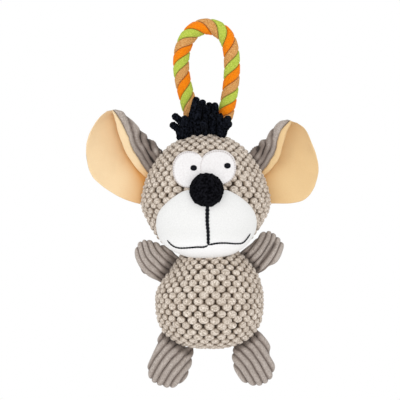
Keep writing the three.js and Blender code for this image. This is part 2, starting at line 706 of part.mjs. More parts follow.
// A band that follows the bent line between two distances outside it. Beyond the seam it may be thicker.
function earBand({ sections, rootCurve }, low, high, count, highBeyond) {
  const shellDepth = ear.lining + ear.back + seamGap;
  const rings = sections.map(({ from, to, width, share, line2d }) => {
    const offsetLine = (distanceAt) => line2d.slice(0, count).map((p, i) => {
      const before = line2d[Math.max(0, i - 1)];
      const after = line2d[Math.min(line2d.length - 1, i + 1)];
      const along = new THREE.Vector2(after[0] - before[0], after[1] - before[1]).normalize();
      const distance = distanceAt(i);
      return new THREE.Vector2(p[0] - along.y * distance, p[1] + along.x * distance);
    });
    const inner = offsetLine(() => low);
    const outer = offsetLine((i) => (i >= line2d.length - 2 ? highBeyond : high));
    const ring = [...inner, ...outer.reverse()];
    const blend = Math.max(0, 1 - share / ear.straightShare) ** 2;
    return ring.map((p) => {
      const across = (p.x + shellDepth * (1 - p.x / width)) / width;
      const straight = from.clone().lerp(to, across);
      const curved = rootCurve.getPointAt(THREE.MathUtils.clamp(across, 0, 1));
      straight.lerp(curved, blend);
      return new THREE.Vector3(straight.x, -p.y, straight.z);
    });
  });
  return loft(rings, [acrossBand, acrossBand]);
}

for (const [side, one] of Object.entries(ears)) {
  const made = earSections(one, earRoots[side]);
  const points = made.sections[0].line2d.length;
  const backLow = ear.lining + seamGap;
  const backHigh = backLow + ear.back;
  add(`ear_lining_${side}`, earBand(made, 0, ear.lining, points, backHigh), canvasTan);
  add(`ear_back_${side}`, earBand(made, backLow, backHigh, points - 2, backHigh), corduroyGrey);
}

// Torso: two plush panels over the filling, with the neck's round end on top

const headRoomAngles = [-nodAngle, 0, nodAngle];
function torsoForm(inset, sides, levels) {
  const nodded = (geometry, angle) => {
    geometry.translate(0, 0, -neckZ);
    geometry.rotateX(angle);
    geometry.translate(0, 0, neckZ);
    return toSolid(geometry);
  };
  const room = headRoomAngles.flatMap((angle) => [
    nodded(swollen(head, -nodClearance - inset, innerSides, innerLevels), angle),
    nodded(muzzleForm(nodClearance).translate(0, inset, -inset), angle),
  ]);
  const bag = cutAll(toSolid(swollen(torso, inset, sides, levels)), room);
  return bag.add(neckSeat(-inset));
}

const torsoSkin = cutAll(torsoForm(0, torso.sides, torso.levels), [
  torsoForm(plushThickness, innerSides, innerLevels),
  ...Object.values(limbRoots).map(rootGroove),
]);
add('torso_front_panel', toGeometry(torsoSkin.intersect(halfSpace(torso, -seamGap / 2, true))), plushGrey);
add('torso_back_panel', toGeometry(torsoSkin.intersect(halfSpace(torso, seamGap / 2, false))), plushGrey);

// The squeaker's pocket opens at the back of the filling.
const squeakerZ = torso.z - squeaker.drop;
const pocketLength = squeaker.depth / 2 + torso.halfDepth;
const pocket = new THREE.CylinderGeometry(
  squeaker.radius + softGap, squeaker.radius + softGap, pocketLength, squeaker.sides);
pocket.translate(torso.x, pocketLength / 2 - squeaker.depth / 2 - softGap, squeakerZ);
add('torso_filling', toGeometry(
  torsoForm(plushThickness + seamGap, innerSides, innerLevels).subtract(toSolid(pocket))), fillingWhite);

function turned(profile, sides) {
  const lathe = new THREE.LatheGeometry(profile.map(([r, y]) => new THREE.Vector2(r, y)), sides);
  lathe.translate(torso.x, 0, squeakerZ);
  return toGeometry(toSolid(lathe));
}
const bulbEnd = squeaker.depth / 2;
const bulbInside = squeaker.radius - squeaker.wall;
const bulbInsideEnd = bulbEnd - squeaker.wall;
add('squeaker_bulb', turned([
  ...squeaker.outsideShares.map(([r, y]) => [r * squeaker.radius, y * bulbEnd]),
  [squeaker.mouthRadius + squeaker.wall, bulbEnd - squeaker.mouthDepth],
  [squeaker.mouthRadius + squeaker.wall, bulbEnd],
  [squeaker.mouthRadius, bulbEnd],
  [squeaker.mouthRadius, bulbEnd - squeaker.mouthDepth - squeaker.wall],
  ...squeaker.insideShares.map(([r, y]) => [r * bulbInside, y * bulbInsideEnd]),
  [0, -bulbInsideEnd],
], squeaker.sides), bulbPlastic);
const reedRadius = squeaker.mouthRadius - seamGap;
add('squeaker_reed', turned([
  [squeaker.reedBore, bulbEnd - squeaker.mouthDepth], [reedRadius, bulbEnd - squeaker.mouthDepth],
  [reedRadius, bulbEnd], [squeaker.reedBore, bulbEnd], [squeaker.reedBore, bulbEnd - squeaker.mouthDepth],
], squeaker.reedSides), bulbPlastic);

// Limbs: two faces that swell from the seam round the edge, thinned to a wedge at the root

function limbForm(one, root) {
  const local = ([out, up]) => root.middle.clone()
    .addScaledVector(root.out, out * one.length)
    .addScaledVector(root.up, up * one.width);
  const free = new THREE.CatmullRomCurve3(
    [root.points.at(0), ...one.outlineShares.map(local), root.points.at(-1)]
      .map((p) => new THREE.Vector3(p.x, 0, p.y)));
  const edge = free.getSpacedPoints(limb.points).map((p) => new THREE.Vector2(p.x, p.z));
  edge.push(...root.points.slice(1, -1).reverse());
  const middle = edge.reduce((sum, p) => sum.add(p), new THREE.Vector2()).divideScalar(edge.length);
  const depthAt = (p, share) => {
    const out = p.clone().sub(root.hinge).dot(root.out);
    const swell = limb.edgeHalf + (one.halfDepth - limb.edgeHalf) * Math.sqrt(1 - share ** limb.fullness);
    return Math.min(swell, limb.edgeHalf + Math.max(0, out));
  };
  const ringAt = (share, face) => edge.map((p) => {
    const at = middle.clone().lerp(p, share);
    return new THREE.Vector3(at.x, face * depthAt(at, share), at.y);
  });
  const pole = (face) => new THREE.Vector3(middle.x, face * depthAt(middle, 0), middle.y);
  return loft([
    ...limb.ringShares.map((share) => ringAt(share, -1)),
    ...limb.ringShares.map((share) => ringAt(share, 1)).reverse(),
  ], [pole(-1), pole(1)]);
}
for (const [name, one] of Object.entries(limbs)) {
  add(name, limbForm(one, limbRoots[name]), corduroyGrey);
}

// The lines about which the sewn joints bend: a point and a direction for each.
function hingesOf(roots) {
  return Object.fromEntries(Object.entries(roots).map(([name, root]) => [name, {
    point: [root.hinge.x, 0, root.hinge.y],
    axis: [root.up.x, 0, root.up.y],
  }]));
}
toy.userData.hinges = { ears: hingesOf(earRoots), limbs: hingesOf(limbRoots) };

export default toy;
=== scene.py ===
# %% [markdown]
# # A stuffed animal dog toy on a rope loop
# The real toy is a sewn plush animal: a round head and a round body of bobble plush, stuffed with fibre, with
# canvas and corduroy ears, corduroy paws, a white padded muzzle and a twisted rope to hang or pull it by.
# The frame loaded here holds the measured model. Every piece made below sits in that model's space.

# %% The frame
import math

import bmesh
import bpy
import numpy as np
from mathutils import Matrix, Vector


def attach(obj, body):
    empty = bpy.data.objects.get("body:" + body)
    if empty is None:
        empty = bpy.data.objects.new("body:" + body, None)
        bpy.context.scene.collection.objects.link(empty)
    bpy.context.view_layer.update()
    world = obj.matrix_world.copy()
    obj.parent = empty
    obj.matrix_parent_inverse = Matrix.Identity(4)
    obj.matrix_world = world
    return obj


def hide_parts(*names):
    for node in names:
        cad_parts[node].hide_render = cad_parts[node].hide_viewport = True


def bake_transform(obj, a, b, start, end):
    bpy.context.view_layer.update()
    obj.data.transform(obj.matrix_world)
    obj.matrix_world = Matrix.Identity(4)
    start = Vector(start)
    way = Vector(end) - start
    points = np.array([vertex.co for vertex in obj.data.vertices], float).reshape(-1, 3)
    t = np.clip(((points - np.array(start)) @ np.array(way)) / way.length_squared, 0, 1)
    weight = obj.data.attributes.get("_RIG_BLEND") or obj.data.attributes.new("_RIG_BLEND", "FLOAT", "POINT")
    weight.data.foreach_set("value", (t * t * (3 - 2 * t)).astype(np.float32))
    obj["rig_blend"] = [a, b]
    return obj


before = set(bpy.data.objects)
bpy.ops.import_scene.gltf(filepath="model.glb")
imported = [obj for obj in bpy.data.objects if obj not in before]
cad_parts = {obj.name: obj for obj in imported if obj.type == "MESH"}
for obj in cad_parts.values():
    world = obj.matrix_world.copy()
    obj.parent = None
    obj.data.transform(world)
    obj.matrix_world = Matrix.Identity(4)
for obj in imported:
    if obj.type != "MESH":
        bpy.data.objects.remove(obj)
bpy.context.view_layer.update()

MM = 0.001
scene = bpy.context.scene
for spare in ("Cube", "Light", "Camera"):
    if spare in bpy.data.objects:
        bpy.data.objects.remove(bpy.data.objects[spare])
print("nodes in the frame:", len(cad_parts))

# %% [markdown]
# ## Camera
# The photograph was taken straight from the front with a long lens, so lines hardly converge. A camera could be
# flat (orthographic), but a real one two and a half metres away keeps the small growth of the nose and muzzle.
# One pixel of the 400 pixel frame is 0.9 mm at the toy, and pixel (207, 34.5) is where the toy hangs.

# %% Camera
PIXEL = 0.9
FRAME_PIXELS = 400
HANG_PIXEL = (207, 34.5)
CAMERA_AWAY = 2500
SENSOR = 36

camera_data = bpy.data.cameras.new("photo_camera")
camera_data.sensor_width = SENSOR
camera_data.lens = SENSOR * CAMERA_AWAY / (FRAME_PIXELS * PIXEL)
camera = bpy.data.objects.new("photo_camera", camera_data)
scene.collection.objects.link(camera)
camera.location = (
    (FRAME_PIXELS / 2 - HANG_PIXEL[0]) * PIXEL * MM,
    -CAMERA_AWAY * MM,
    (HANG_PIXEL[1] - FRAME_PIXELS / 2) * PIXEL * MM,
)
camera.rotation_euler = (math.pi / 2, 0, 0)
scene.camera = camera
print("lens:", round(camera_data.lens), "mm")

# %% [markdown]
# ## Smooth lines
# Ropes, ears and stitched lines all follow a curve through a few chosen points. A spline object could hold it,
# but here the points are needed as numbers, evenly spaced, so a small function returns them. It uses the
# centripetal spline, which never loops back on itself between two close points. The other helpers are the few
# soft shapes that cloth takes again and again: a smooth step, a bell, a dome and a rounded edge.

# %% Smooth lines
STEPS_PER_CORNER = 24


def unit(vectors):
    return vectors / np.linalg.norm(vectors, axis=-1, keepdims=True)


def distances(line):
    """How far along a line each of its points is."""
    return np.concatenate([[0], np.cumsum(np.linalg.norm(np.diff(line, axis=0), axis=1))])


def sampled(line, stops, wanted):
    """The points at the wanted places of a line whose own points are at its stops."""
    return np.stack([np.interp(wanted, stops, line[:, k]) for k in range(line.shape[1])], axis=1)


def smooth_line(corners, count, closed=False):
    """count + 1 evenly spaced points on a smooth curve through the corners."""
    corners = np.array(corners, float)
    if closed:
        line = np.vstack([corners[-1], corners, corners[0], corners[1]])
    else:
        line = np.vstack([2 * corners[0] - corners[1], corners, 2 * corners[-1] - corners[-2]])
    fine = []
    for a, b, c, d in zip(line, line[1:], line[2:], line[3:]):
        ta = 0.0
        tb = ta + math.sqrt(math.dist(a, b))
        tc = tb + math.sqrt(math.dist(b, c))
        td = tc + math.sqrt(math.dist(c, d))
        t = np.linspace(tb, tc, STEPS_PER_CORNER, endpoint=False)[:, None]
        ab = a + (b - a) * (t - ta) / (tb - ta)
        bc = b + (c - b) * (t - tb) / (tc - tb)
        cd = c + (d - c) * (t - tc) / (td - tc)
        abc = ab + (bc - ab) * (t - ta) / (tc - ta)
        bcd = bc + (cd - bc) * (t - tb) / (td - tb)
        fine.append(abc + (bcd - abc) * (t - tb) / (tc - tb))
    fine.append(line[-2][None])
    fine = np.vstack(fine)
    along = distances(fine)
    return sampled(fine, along, np.linspace(0, along[-1], count + 1))


def length_of(line):
    return float(np.linalg.norm(np.diff(line, axis=0), axis=1).sum())


# %% Smooth steps, bells and round edges
def smoothstep(value, low, high):
    share = np.clip((value - low) / (high - low), 0, 1)
    return share * share * (3 - 2 * share)


def bell(offset, width):
    """1 in the middle, and nearly 0 from twice the width on."""
    return np.exp(-(offset / width) ** 2)


def domed(share, power):
    """1 in the middle of a pad, 0 at its edge, where share is 1. A higher power makes it flatter on top."""
    return np.sqrt(np.clip(1 - share ** power, 0, 1))


def quarter_round(inward):
    """Rises like a quarter circle from 0 at an edge to 1 where inward is 1, and stays there."""
    return np.sqrt(np.clip(1 - np.maximum(1 - inward, 0) ** 2, 0, 1))


# %% [markdown]
# ## Finishes
# Each fabric is a small node tree. Wiring nodes by hand hides the idea, so two classes make it read like maths:
# a Signal is a value that flows through the tree, and a Finish is one material that can add any node.
# Plain numbers, such as the roughness of a whole cloth, are set on the shader itself.

# %% Finishes: the tools
def srgb(code):
    """A screen colour such as #f98a12, made linear for the shader."""
    parts = [int(code[i:i + 2], 16) / 255 for i in (1, 3, 5)]
    return [c / 12.92 if c <= 0.04045 else ((c + 0.055) / 1.055) ** 2.4 for c in parts] + [1.0]


class Signal:
    """A value in a material, so that maths on it can be written as maths."""

    def __init__(self, finish, socket):
        self.finish = finish
        self.socket = socket

    def math(self, operation, other):
        return self.finish.node("ShaderNodeMath", {"operation": operation}, {0: self, 1: other})

    def __add__(self, other):
        return self.math("ADD", other)

    def __mul__(self, other):
        return self.math("MULTIPLY", other)


class Finish:
    """One material. node() adds any node and returns what comes out of it."""

    def __init__(self, name, roughness, **sockets):
        self.material = bpy.data.materials.new(name)
        self.material.use_nodes = True
        self.tree = self.material.node_tree
        self.surface = self.tree.nodes["Principled BSDF"]
        self.surface.inputs["Roughness"].default_value = roughness
        for socket, value in sockets.items():
            self.surface.inputs[socket.replace("_", " ")].default_value = value

    def feed(self, socket, value):
        if isinstance(value, Signal):
            self.tree.links.new(value.socket, socket)
        else:
            socket.default_value = value

    def node(self, kind, settings=None, sockets=None, output=0):
        made = self.tree.nodes.new(kind)
        for setting, value in (settings or {}).items():
            setattr(made, setting, value)
        for socket, value in (sockets or {}).items():
            self.feed(made.inputs[socket], value)
        return Signal(self, made.outputs[output]) if made.outputs else None

    def place(self):
        return self.node("ShaderNodeTexCoord", output="Object")

    def across(self):
        return self.node("ShaderNodeTexCoord", output="UV")

    def own(self, attribute):
        return self.node("ShaderNodeAttribute", {"attribute_name": attribute}, output="Fac")

    def noise(self, vector, scale, detail=2.0, rough=0.5):
        return self.node("ShaderNodeTexNoise", sockets={
            "Vector": vector, "Scale": scale, "Detail": detail, "Roughness": rough})

    def wave(self, vector, scale, direction):
        return self.node("ShaderNodeTexWave", {"bands_direction": direction, "wave_profile": "SIN"},
                         {"Vector": vector, "Scale": scale})

    def ramp(self, value, low, high):
        return self.node("ShaderNodeMapRange", {"clamp": True, "interpolation_type": "SMOOTHSTEP"}, {
            "Value": value, "From Min": low, "From Max": high})

    def mix(self, share, first, second):
        return self.node("ShaderNodeMix", {"data_type": "RGBA"}, {0: share, 6: first, 7: second}, 2)

    def paint(self, colour):
        self.feed(self.surface.inputs["Base Color"], colour)

    def raise_by(self, height, distance, strength=1.0):
        bump = self.node("ShaderNodeBump", sockets={
            "Height": height, "Distance": distance, "Strength": strength})
        self.feed(self.surface.inputs["Normal"], bump)


# %% [markdown]
# ## The fabrics
# Bobble plush and corduroy get their bumps as real geometry further down, which also leaves an attribute, nap,
# on each piece: 0 in the gaps and 1 on the tops. The colour follows nap: the gaps are painted darker, as painted
# shade where the pile lies deep.
# Fine fibres are too small to model and come from noise in the bump.

# %% Finishes: plush and corduroy
def piled(name, top, gap, full, fibre, pitted):
    finish = Finish(name, 0.95, Sheen_Weight=0.12, Sheen_Roughness=0.6, Specular_IOR_Level=0.15)
    place = finish.place()
    nap = finish.own("nap")
    fleck = finish.noise(place, fibre, 3.0, 0.7)
    patch = finish.noise(place, 60.0, 2.0)
    pits = finish.noise(place, fibre * 1.7, 2.0, 0.6)
    pale = finish.mix(finish.ramp(fleck, 0.36, 0.64), srgb(top[0]), srgb(top[1]))
    pale = finish.mix(finish.ramp(pits, 0.3, 0.46) * pitted + (1 - pitted), srgb(gap[1]), pale)
    toned = finish.mix(finish.ramp(patch, 0.3, 0.7) * 0.3, pale, srgb(top[0]))
    # Painted shade: as nap falls into a gap the colour goes to the paler gap colour, then to the darkest. The paler
    # gap colour also tints the knit's fine pits, which are the cloth's own.
    shaded = finish.mix(finish.ramp(nap, full[0], full[1]), srgb(gap[1]), toned)
    finish.paint(finish.mix(finish.ramp(nap, 0.0, full[0]), srgb(gap[0]), shaded))
    finish.raise_by(fleck + pits, 0.0009, 0.8)
    return finish.material


# The gap colours are painted shade for the deep pile between the tufts and in the grooves between the wales.
bobble_plush = piled("bobble_plush", ("#b8a999", "#f8ede1"), ("#35281c", "#8c7b6a"), (0.25, 0.75), 620.0, 1.0)
corduroy = piled("corduroy", ("#a59990", "#cdc3bb"), ("#3b322d", "#84776f"), (0.3, 0.9), 900.0, 0.3)

# %% [markdown]
# Canvas is a plain weave: one set of threads goes over and under the other. Two sets of bands at right angles,
# taken from the piece's own UV map in millimetres, make it. The lining is painted warmer and darker in the crease
# and at the root, as painted shade where the fold and the head keep light off it, and an attribute says where.

# %% Finishes: canvas
THREAD_SCALE = 1 / 0.55 / 3.2


def woven(name, pale, warm, deep):
    finish = Finish(name, 0.88, Sheen_Weight=0.15, Sheen_Roughness=0.5, Specular_IOR_Level=0.2)
    across = finish.across()
    warp = finish.wave(across, THREAD_SCALE, "X")
    weft = finish.wave(across, THREAD_SCALE, "Y")
    slub = finish.noise(across, 0.9, 3.0)
    cloud = finish.noise(finish.place(), 45.0, 3.0)
    cloth = finish.mix(finish.ramp(slub, 0.3, 0.75), srgb(pale), srgb(warm))
    cloth = finish.mix(finish.ramp(warp * weft, 0.0, 0.25) * 0.25 + cloud * 0.12, srgb(warm), cloth)
    # Painted shade: the canvas turns to its deep colour where the piece's crease attribute is near 1.
    finish.paint(finish.mix(finish.own("crease_shade"), cloth, srgb(deep)))
    finish.raise_by(warp + weft + slub * 0.6, 0.0002, 0.6)
    return finish.material


# The two linings are one canvas. The right one is painted darker, as painted shade on the ear that turns away from
# the light.
canvas_left = woven("canvas_left", "#ffecc8", "#f9dbae", "#de9f58")
canvas_right_shaded = woven("canvas_right_shaded", "#fbdfb0", "#eecb96", "#d0944f")

# %% [markdown]
# The nose is fleece, the hair is chenille and the face lines are thread: all black, told apart by their nap and
# by how much of the light they throw back at a low angle. The muzzle is a short, smooth pile that looks nearly
# plain, and the eyes are felt with a stitched edge: both are whites with a fine nap.

# %% Finishes: blacks
def napped(name, first, second, scale, height, roughness, sheen, shine=0.15):
    finish = Finish(name, roughness, Sheen_Weight=sheen, Sheen_Roughness=0.45, Specular_IOR_Level=shine)
    nap = finish.noise(finish.place(), scale, 4.0, 0.65)
    finish.paint(finish.mix(finish.ramp(nap, 0.38, 0.66), srgb(first), srgb(second)))
    finish.raise_by(nap, height, 0.6)
    return finish.material


nose_fleece = napped("nose_fleece", "#010102", "#1b1b20", 480.0, 0.0014, 0.95, 0.01, 0.01)
chenille = napped("chenille", "#000001", "#1d2029", 520.0, 0.0012, 0.9, 0.01, 0.02)
face_thread = napped("face_thread", "#0b0c10", "#1d1f25", 1800.0, 0.0002, 0.7, 0.015, 0.05)
squeaker_plastic = napped("squeaker_plastic", "#d6d6d0", "#e2e2dd", 200.0, 0.0001, 0.45, 0.0)

# %% Finishes: whites
def brushed_pile(name, upper, lower):
    """A short smooth pile, painted paler where its underside attribute is near 1, as painted light."""
    finish = Finish(name, 0.9, Sheen_Weight=0.1, Sheen_Roughness=0.45, Specular_IOR_Level=0.15)
    nap = finish.noise(finish.place(), 1200.0, 4.0, 0.65)
    shades = [finish.mix(finish.ramp(nap, 0.3, 0.7), srgb(first), srgb(second))
              for first, second in (upper, lower)]
    finish.paint(finish.mix(finish.own("underside_light"), *shades))
    finish.raise_by(nap, 0.0002, 0.6)
    return finish.material


# Painted light and shade: the first pair is the white in painted shade, the second the white painted lighter below.
muzzle_pile = brushed_pile("muzzle_pile", ("#e0e0df", "#ebebea"), ("#f4f4f4", "#fdfdfd"))


def stitched_felt(name, first, second, thread):
    """Felt whose attribute, rim, says where its edge is sewn down."""
    finish = Finish(name, 0.95, Sheen_Weight=0.1, Sheen_Roughness=0.45, Specular_IOR_Level=0.15)
    nap = finish.noise(finish.place(), 650.0, 4.0, 0.7)
    cloth = finish.mix(finish.ramp(nap, 0.35, 0.65), srgb(first), srgb(second))
    finish.paint(finish.mix(finish.own("rim"), cloth, srgb(thread)))
    finish.raise_by(nap, 0.0003, 0.6)
    return finish.material


eye_felt = stitched_felt("eye_felt", "#e6e3e3", "#f0eeee", "#aea29e")

# %% [markdown]
# Each rope strand is a tube of knitted cotton. Its fine ribs run round the strand, so they come from the strand's
# UV map, with a fleck of lighter and darker fibres over them. The deep grooves between strands are painted dark
# brown, as painted shade.

# %% Finishes: rope
def rope_cotton(name, pale, deep, groove_shade):
    finish = Finish(name, 0.85, Sheen_Weight=0.04, Sheen_Roughness=0.5, Specular_IOR_Level=0.15)
    across = finish.across()
    rib = finish.wave(across, 0.36, "DIAGONAL")
    fleck = finish.noise(across, 1.0, 3.0)
    cloth = finish.mix(finish.ramp(fleck, 0.42, 0.6), srgb(deep), srgb(pale))
    cloth = finish.mix(rib * 0.3, cloth, srgb(deep))
    # Painted shade: where nap falls toward a groove between strands, the colour goes to the dark groove colour.
    outer = finish.ramp(finish.own("nap"), 0.25, 0.85)
    finish.paint(finish.mix(outer, srgb(groove_shade), cloth))
    finish.raise_by(rib + fleck, 0.0004, 0.7)
    return finish.material


rope_colours = {
    "orange": rope_cotton("rope_orange", "#ff9a0c", "#fb7f00", "#6b3204"),
    "green": rope_cotton("rope_green", "#d3e263", "#b2c644", "#454a12"),
    "tan": rope_cotton("rope_tan", "#f0ba76", "#cf8f4c", "#5b3a1d"),
}
print("finishes:", len(bpy.data.materials))

# %% [markdown]
# ## Making pieces
# Most pieces start from a grid or a ball that Blender makes, whose vertices are then moved to where the sewn
# cloth lies, much as one sculpts. Grids that close on themselves are welded, and faces are turned outward.

# %% Making pieces: helpers
def spots(bm):
    return np.array([vert.co[:] for vert in bm.verts])


def move(bm, places):
    for vert, place in zip(bm.verts, places):
        vert.co = place


def finished(name, bm, finish, nap=None):
    """A smooth mesh object at the origin, in metres, made from a bmesh in millimetres."""
    mesh = bpy.data.meshes.new(name)
    bm.to_mesh(mesh)
    bm.free()
    mesh.transform(((MM, 0, 0, 0), (0, MM, 0, 0), (0, 0, MM, 0), (0, 0, 0, 1)))
    for material in finish if isinstance(finish, list) else [finish]:
        mesh.materials.append(material)
    mesh.polygons.foreach_set("use_smooth", np.ones(len(mesh.polygons), bool))
    obj = bpy.data.objects.new(name, mesh)
    scene.collection.objects.link(obj)
    if nap is not None:
        mark(obj, "nap", nap)
    print(name, "has", len(mesh.polygons), "faces")
    return obj


def mark(obj, attribute, values):
    layer = obj.data.attributes.new(attribute, "FLOAT", "POINT")
    layer.data.foreach_set("value", np.asarray(values, np.float32))


def facing_out(bm):
    bmesh.ops.recalc_face_normals(bm, faces=bm.faces)
    if bm.calc_volume(signed=True) < 0:
        print("turned inside out, so it is turned back")
        bmesh.ops.reverse_faces(bm, faces=bm.faces)
    return bm


def outward(bm):
    """Unit normals of the mesh's vertices."""
    bm.normal_update()
    return np.array([vert.normal[:] for vert in bm.verts])


def sheet(across, along):
    """A flat sheet of across by along faces, and the places of its points on it, u and v from 0 to 1."""
    bm = bmesh.new()
    bm.loops.layers.uv.new("UVMap")
    bmesh.ops.create_grid(bm, x_segments=across, y_segments=along, size=0.5, calc_uvs=True)
    flat = spots(bm) + 0.5
    return bm, flat[:, 0], flat[:, 1]


def swept(across, along, place, weld=0.002):
    """A sheet whose points go where place(u, v) says, welded where it meets itself."""
    bm, u, v = sheet(across, along)
    move(bm, place(u, v))
    bmesh.ops.remove_doubles(bm, verts=bm.verts, dist=weld)
    return facing_out(bm)


# %% [markdown]
# ## The round forms
# Head and body are stuffed bags: round from above, with one profile up their height. These functions give a
# bag's half width at any height and any point on its front, and everything sewn on the head is placed with them.

# %% The round forms
HEAD = {"x": -1.4, "z": -144.5, "half_width": 57, "half_depth": 50, "up": 56.7, "down": 56.7,
        "full_up": 2, "full_down": 2, "taper": 0.09}
TORSO = {"x": 2.2, "z": -239, "half_width": 49, "half_depth": 42.5, "up": 52.2, "down": 43.7,
         "full_up": 2, "full_down": 2.6, "taper": 0}


def half_width_at(form, share):
    share = np.clip(share, -1, 1)
    full = np.where(share < 0, form["full_down"], form["full_up"])
    return form["half_width"] * (1 - np.abs(share) ** full) ** (1 / full) * (1 - form["taper"] * share)


def height_at(form, share):
    return form["z"] + share * np.where(np.asarray(share) < 0, form["down"], form["up"])


def depth_at(form, x, z):
    share = (z - form["z"]) / np.where(z < form["z"], form["down"], form["up"])
    half = half_width_at(form, share)
    across = np.where(half > 0, (x - form["x"]) / np.maximum(half, 1e-6), 1)
    return half * form["half_depth"] / form["half_width"] * np.sqrt(np.maximum(0, 1 - across ** 2))


def on_front(form, x, z, lift, step=0.06):
    """Points on the front of a form seen at x, z, lifted off it along its normal."""
    x, z = np.asarray(x, float), np.asarray(z, float)
    slope_x = (depth_at(form, x + step, z) - depth_at(form, x - step, z)) / (2 * step)
    slope_z = (depth_at(form, x, z + step) - depth_at(form, x, z - step)) / (2 * step)
    normal = unit(np.stack([-slope_x, -np.ones_like(x), -slope_z], axis=-1))
    return np.stack([x, -depth_at(form, x, z), z], axis=-1) + normal * np.asarray(lift)[..., None]


def swollen(form, ball):
    """Moves the points of a unit ball onto the form."""
    around = np.maximum(np.hypot(ball[:, 0], ball[:, 1]), 1e-9)
    full = np.where(ball[:, 2] < 0, form["full_down"], form["full_up"])
    share = np.sign(ball[:, 2]) * np.abs(ball[:, 2]) ** (2 / full)
    half = half_width_at(form, share)
    return np.stack([
        form["x"] + half * ball[:, 0] / around,
        half * form["half_depth"] / form["half_width"] * ball[:, 1] / around,
        height_at(form, share),
    ], axis=1)


# %% [markdown]
# ## Twisted rope loop
# Three soft cotton strands are laid up into a rope, and the rope goes up out of the head, round and back in.
# The rope could be three tubes wound round each other, but real strands press flat where they touch. So each
# strand's section is a circle cut down to a third of the rope, which closes the middle and leaves neat grooves.
# The list of shares says where along the rope each band faces the viewer, because a hand-laid rope isn't even.

# %% Rope: its route
ROPE_RADIUS = 7.2
ROPE_FOOT = -90.5
rope_route = [
    (-12.9, ROPE_FOOT - ROPE_RADIUS), (-12.9, ROPE_FOOT), (-13.4, -75), (-17.3, -59), (-21.1, -44.5),
    (-23.3, -28.5), (-21.9, -13.5), (-16.4, -1.5), (-8.8, 5.2), (0, ROPE_RADIUS), (9.2, 5.0), (16.8, -1.5),
    (21.2, -12.5), (22.5, -28.5), (21.6, -44.5), (19.4, -59), (15.6, -75), (9.4, ROPE_FOOT),
    (8.2, ROPE_FOOT - ROPE_RADIUS),
]
ROPE_STEPS = 420
rope_stops = np.linspace(0, 1, ROPE_STEPS + 1)
rope_line = smooth_line([(x, 0, z) for x, z in rope_route], ROPE_STEPS)
rope_length = length_of(rope_line)
print("rope length:", round(rope_length, 1), "mm")

band_shares = [0.134, 0.179, 0.2286, 0.2687, 0.308, 0.3458, 0.3902, 0.4308, 0.4689, 0.5193, 0.5643, 0.6083,
               0.6529, 0.6993, 0.7421, 0.7836, 0.8301, 0.8693, 0.9091]
band_order = ["tan", "green", "orange"]
STRANDS = len(band_order)
GENTLE_POWER = 7


def rope_turn(share):
    """How far round the rope has turned at a share of its length, so that each band faces front in its place."""
    even = (band_shares[-1] - band_shares[0]) / (len(band_shares) - 1)
    places = [band_shares[0] - 3 * even, *band_shares, band_shares[-1] + 3 * even]
    turns = [-3, *range(len(band_shares)), len(band_shares) + 2]
    coarse = np.linspace(0, 1, 25)
    gentle = np.polyfit(coarse, np.interp(coarse, places, turns), GENTLE_POWER)
    return np.polyval(gentle, share) * math.tau / STRANDS


# %% Rope: its strands
STRAND_ORBIT = 3.0
STRAND_RADIUS = 5.1
STRAND_REACH = 7.3
STRAND_GAP = 0.12
STRAND_SIDES = 40
AHEAD = 0.002
FRONT = math.pi / 2


def strand(colour_index):
    """One strand as a bmesh. Its section is a circle, cut off where the wedges of the other strands begin."""
    def place(u, v):
        shrink = quarter_round(np.minimum(v, 1 - v) / (ROPE_RADIUS / rope_length))
        at, ahead, behind = [sampled(rope_line, rope_stops, v + step) for step in (0, AHEAD, -AHEAD)]
        toward = np.array([0.0, -1.0, 0.0])
        side = np.cross(unit(ahead - behind), toward)
        angle = math.tau * u
        x = np.maximum(STRAND_ORBIT + STRAND_RADIUS * np.cos(angle), STRAND_GAP)
        reach = np.maximum(math.tan(math.pi / STRANDS) * x - STRAND_GAP, 0)
        y = np.clip(STRAND_RADIUS * np.sin(angle), -reach, reach)
        inside = np.minimum(1, STRAND_REACH / np.hypot(x, y))
        x, y = x * inside, y * inside
        turn = FRONT - rope_turn(v) + math.tau / STRANDS * colour_index
        out = x * np.cos(turn) - y * np.sin(turn)
        up = x * np.sin(turn) + y * np.cos(turn)
        return at + side * (out * shrink)[:, None] + toward * (up * shrink)[:, None]
    return swept(STRAND_SIDES, ROPE_STEPS, place)


# %% Rope: one mesh of three strands
def joined(parts):
    """Several bmeshes in one, each with its own material index."""
    whole = bmesh.new()
    for index, part in enumerate(parts):
        for face in part.faces:
            face.material_index = index
        mesh = bpy.data.meshes.new("part")
        part.to_mesh(mesh)
        part.free()
        whole.from_mesh(mesh)
        bpy.data.meshes.remove(mesh)
    return whole


GROOVE_RADIUS = 4.6
rope_bm = joined([strand(i) for i in range(STRANDS)])
uv_layer = rope_bm.loops.layers.uv.active
for face in rope_bm.faces:
    for loop in face.loops:
        loop[uv_layer].uv.x *= math.tau * STRAND_RADIUS
        loop[uv_layer].uv.y *= rope_length
rope_spots = spots(rope_bm)
# rope_nap is 0 in the grooves between the strands, where the finish paints shade.
nearest = np.min(np.stack([
    np.linalg.norm(rope_spots - np.array(p), axis=1) for p in rope_line[::4]]), axis=0)
rope_nap = np.clip((nearest - GROOVE_RADIUS) / (ROPE_RADIUS - GROOVE_RADIUS), 0, 1)
rope = finished("rope_loop", rope_bm, [rope_colours[c] for c in band_order], rope_nap)
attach(rope, "rope_loop")
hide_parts("rope_strand_orange", "rope_strand_green", "rope_strand_tan")

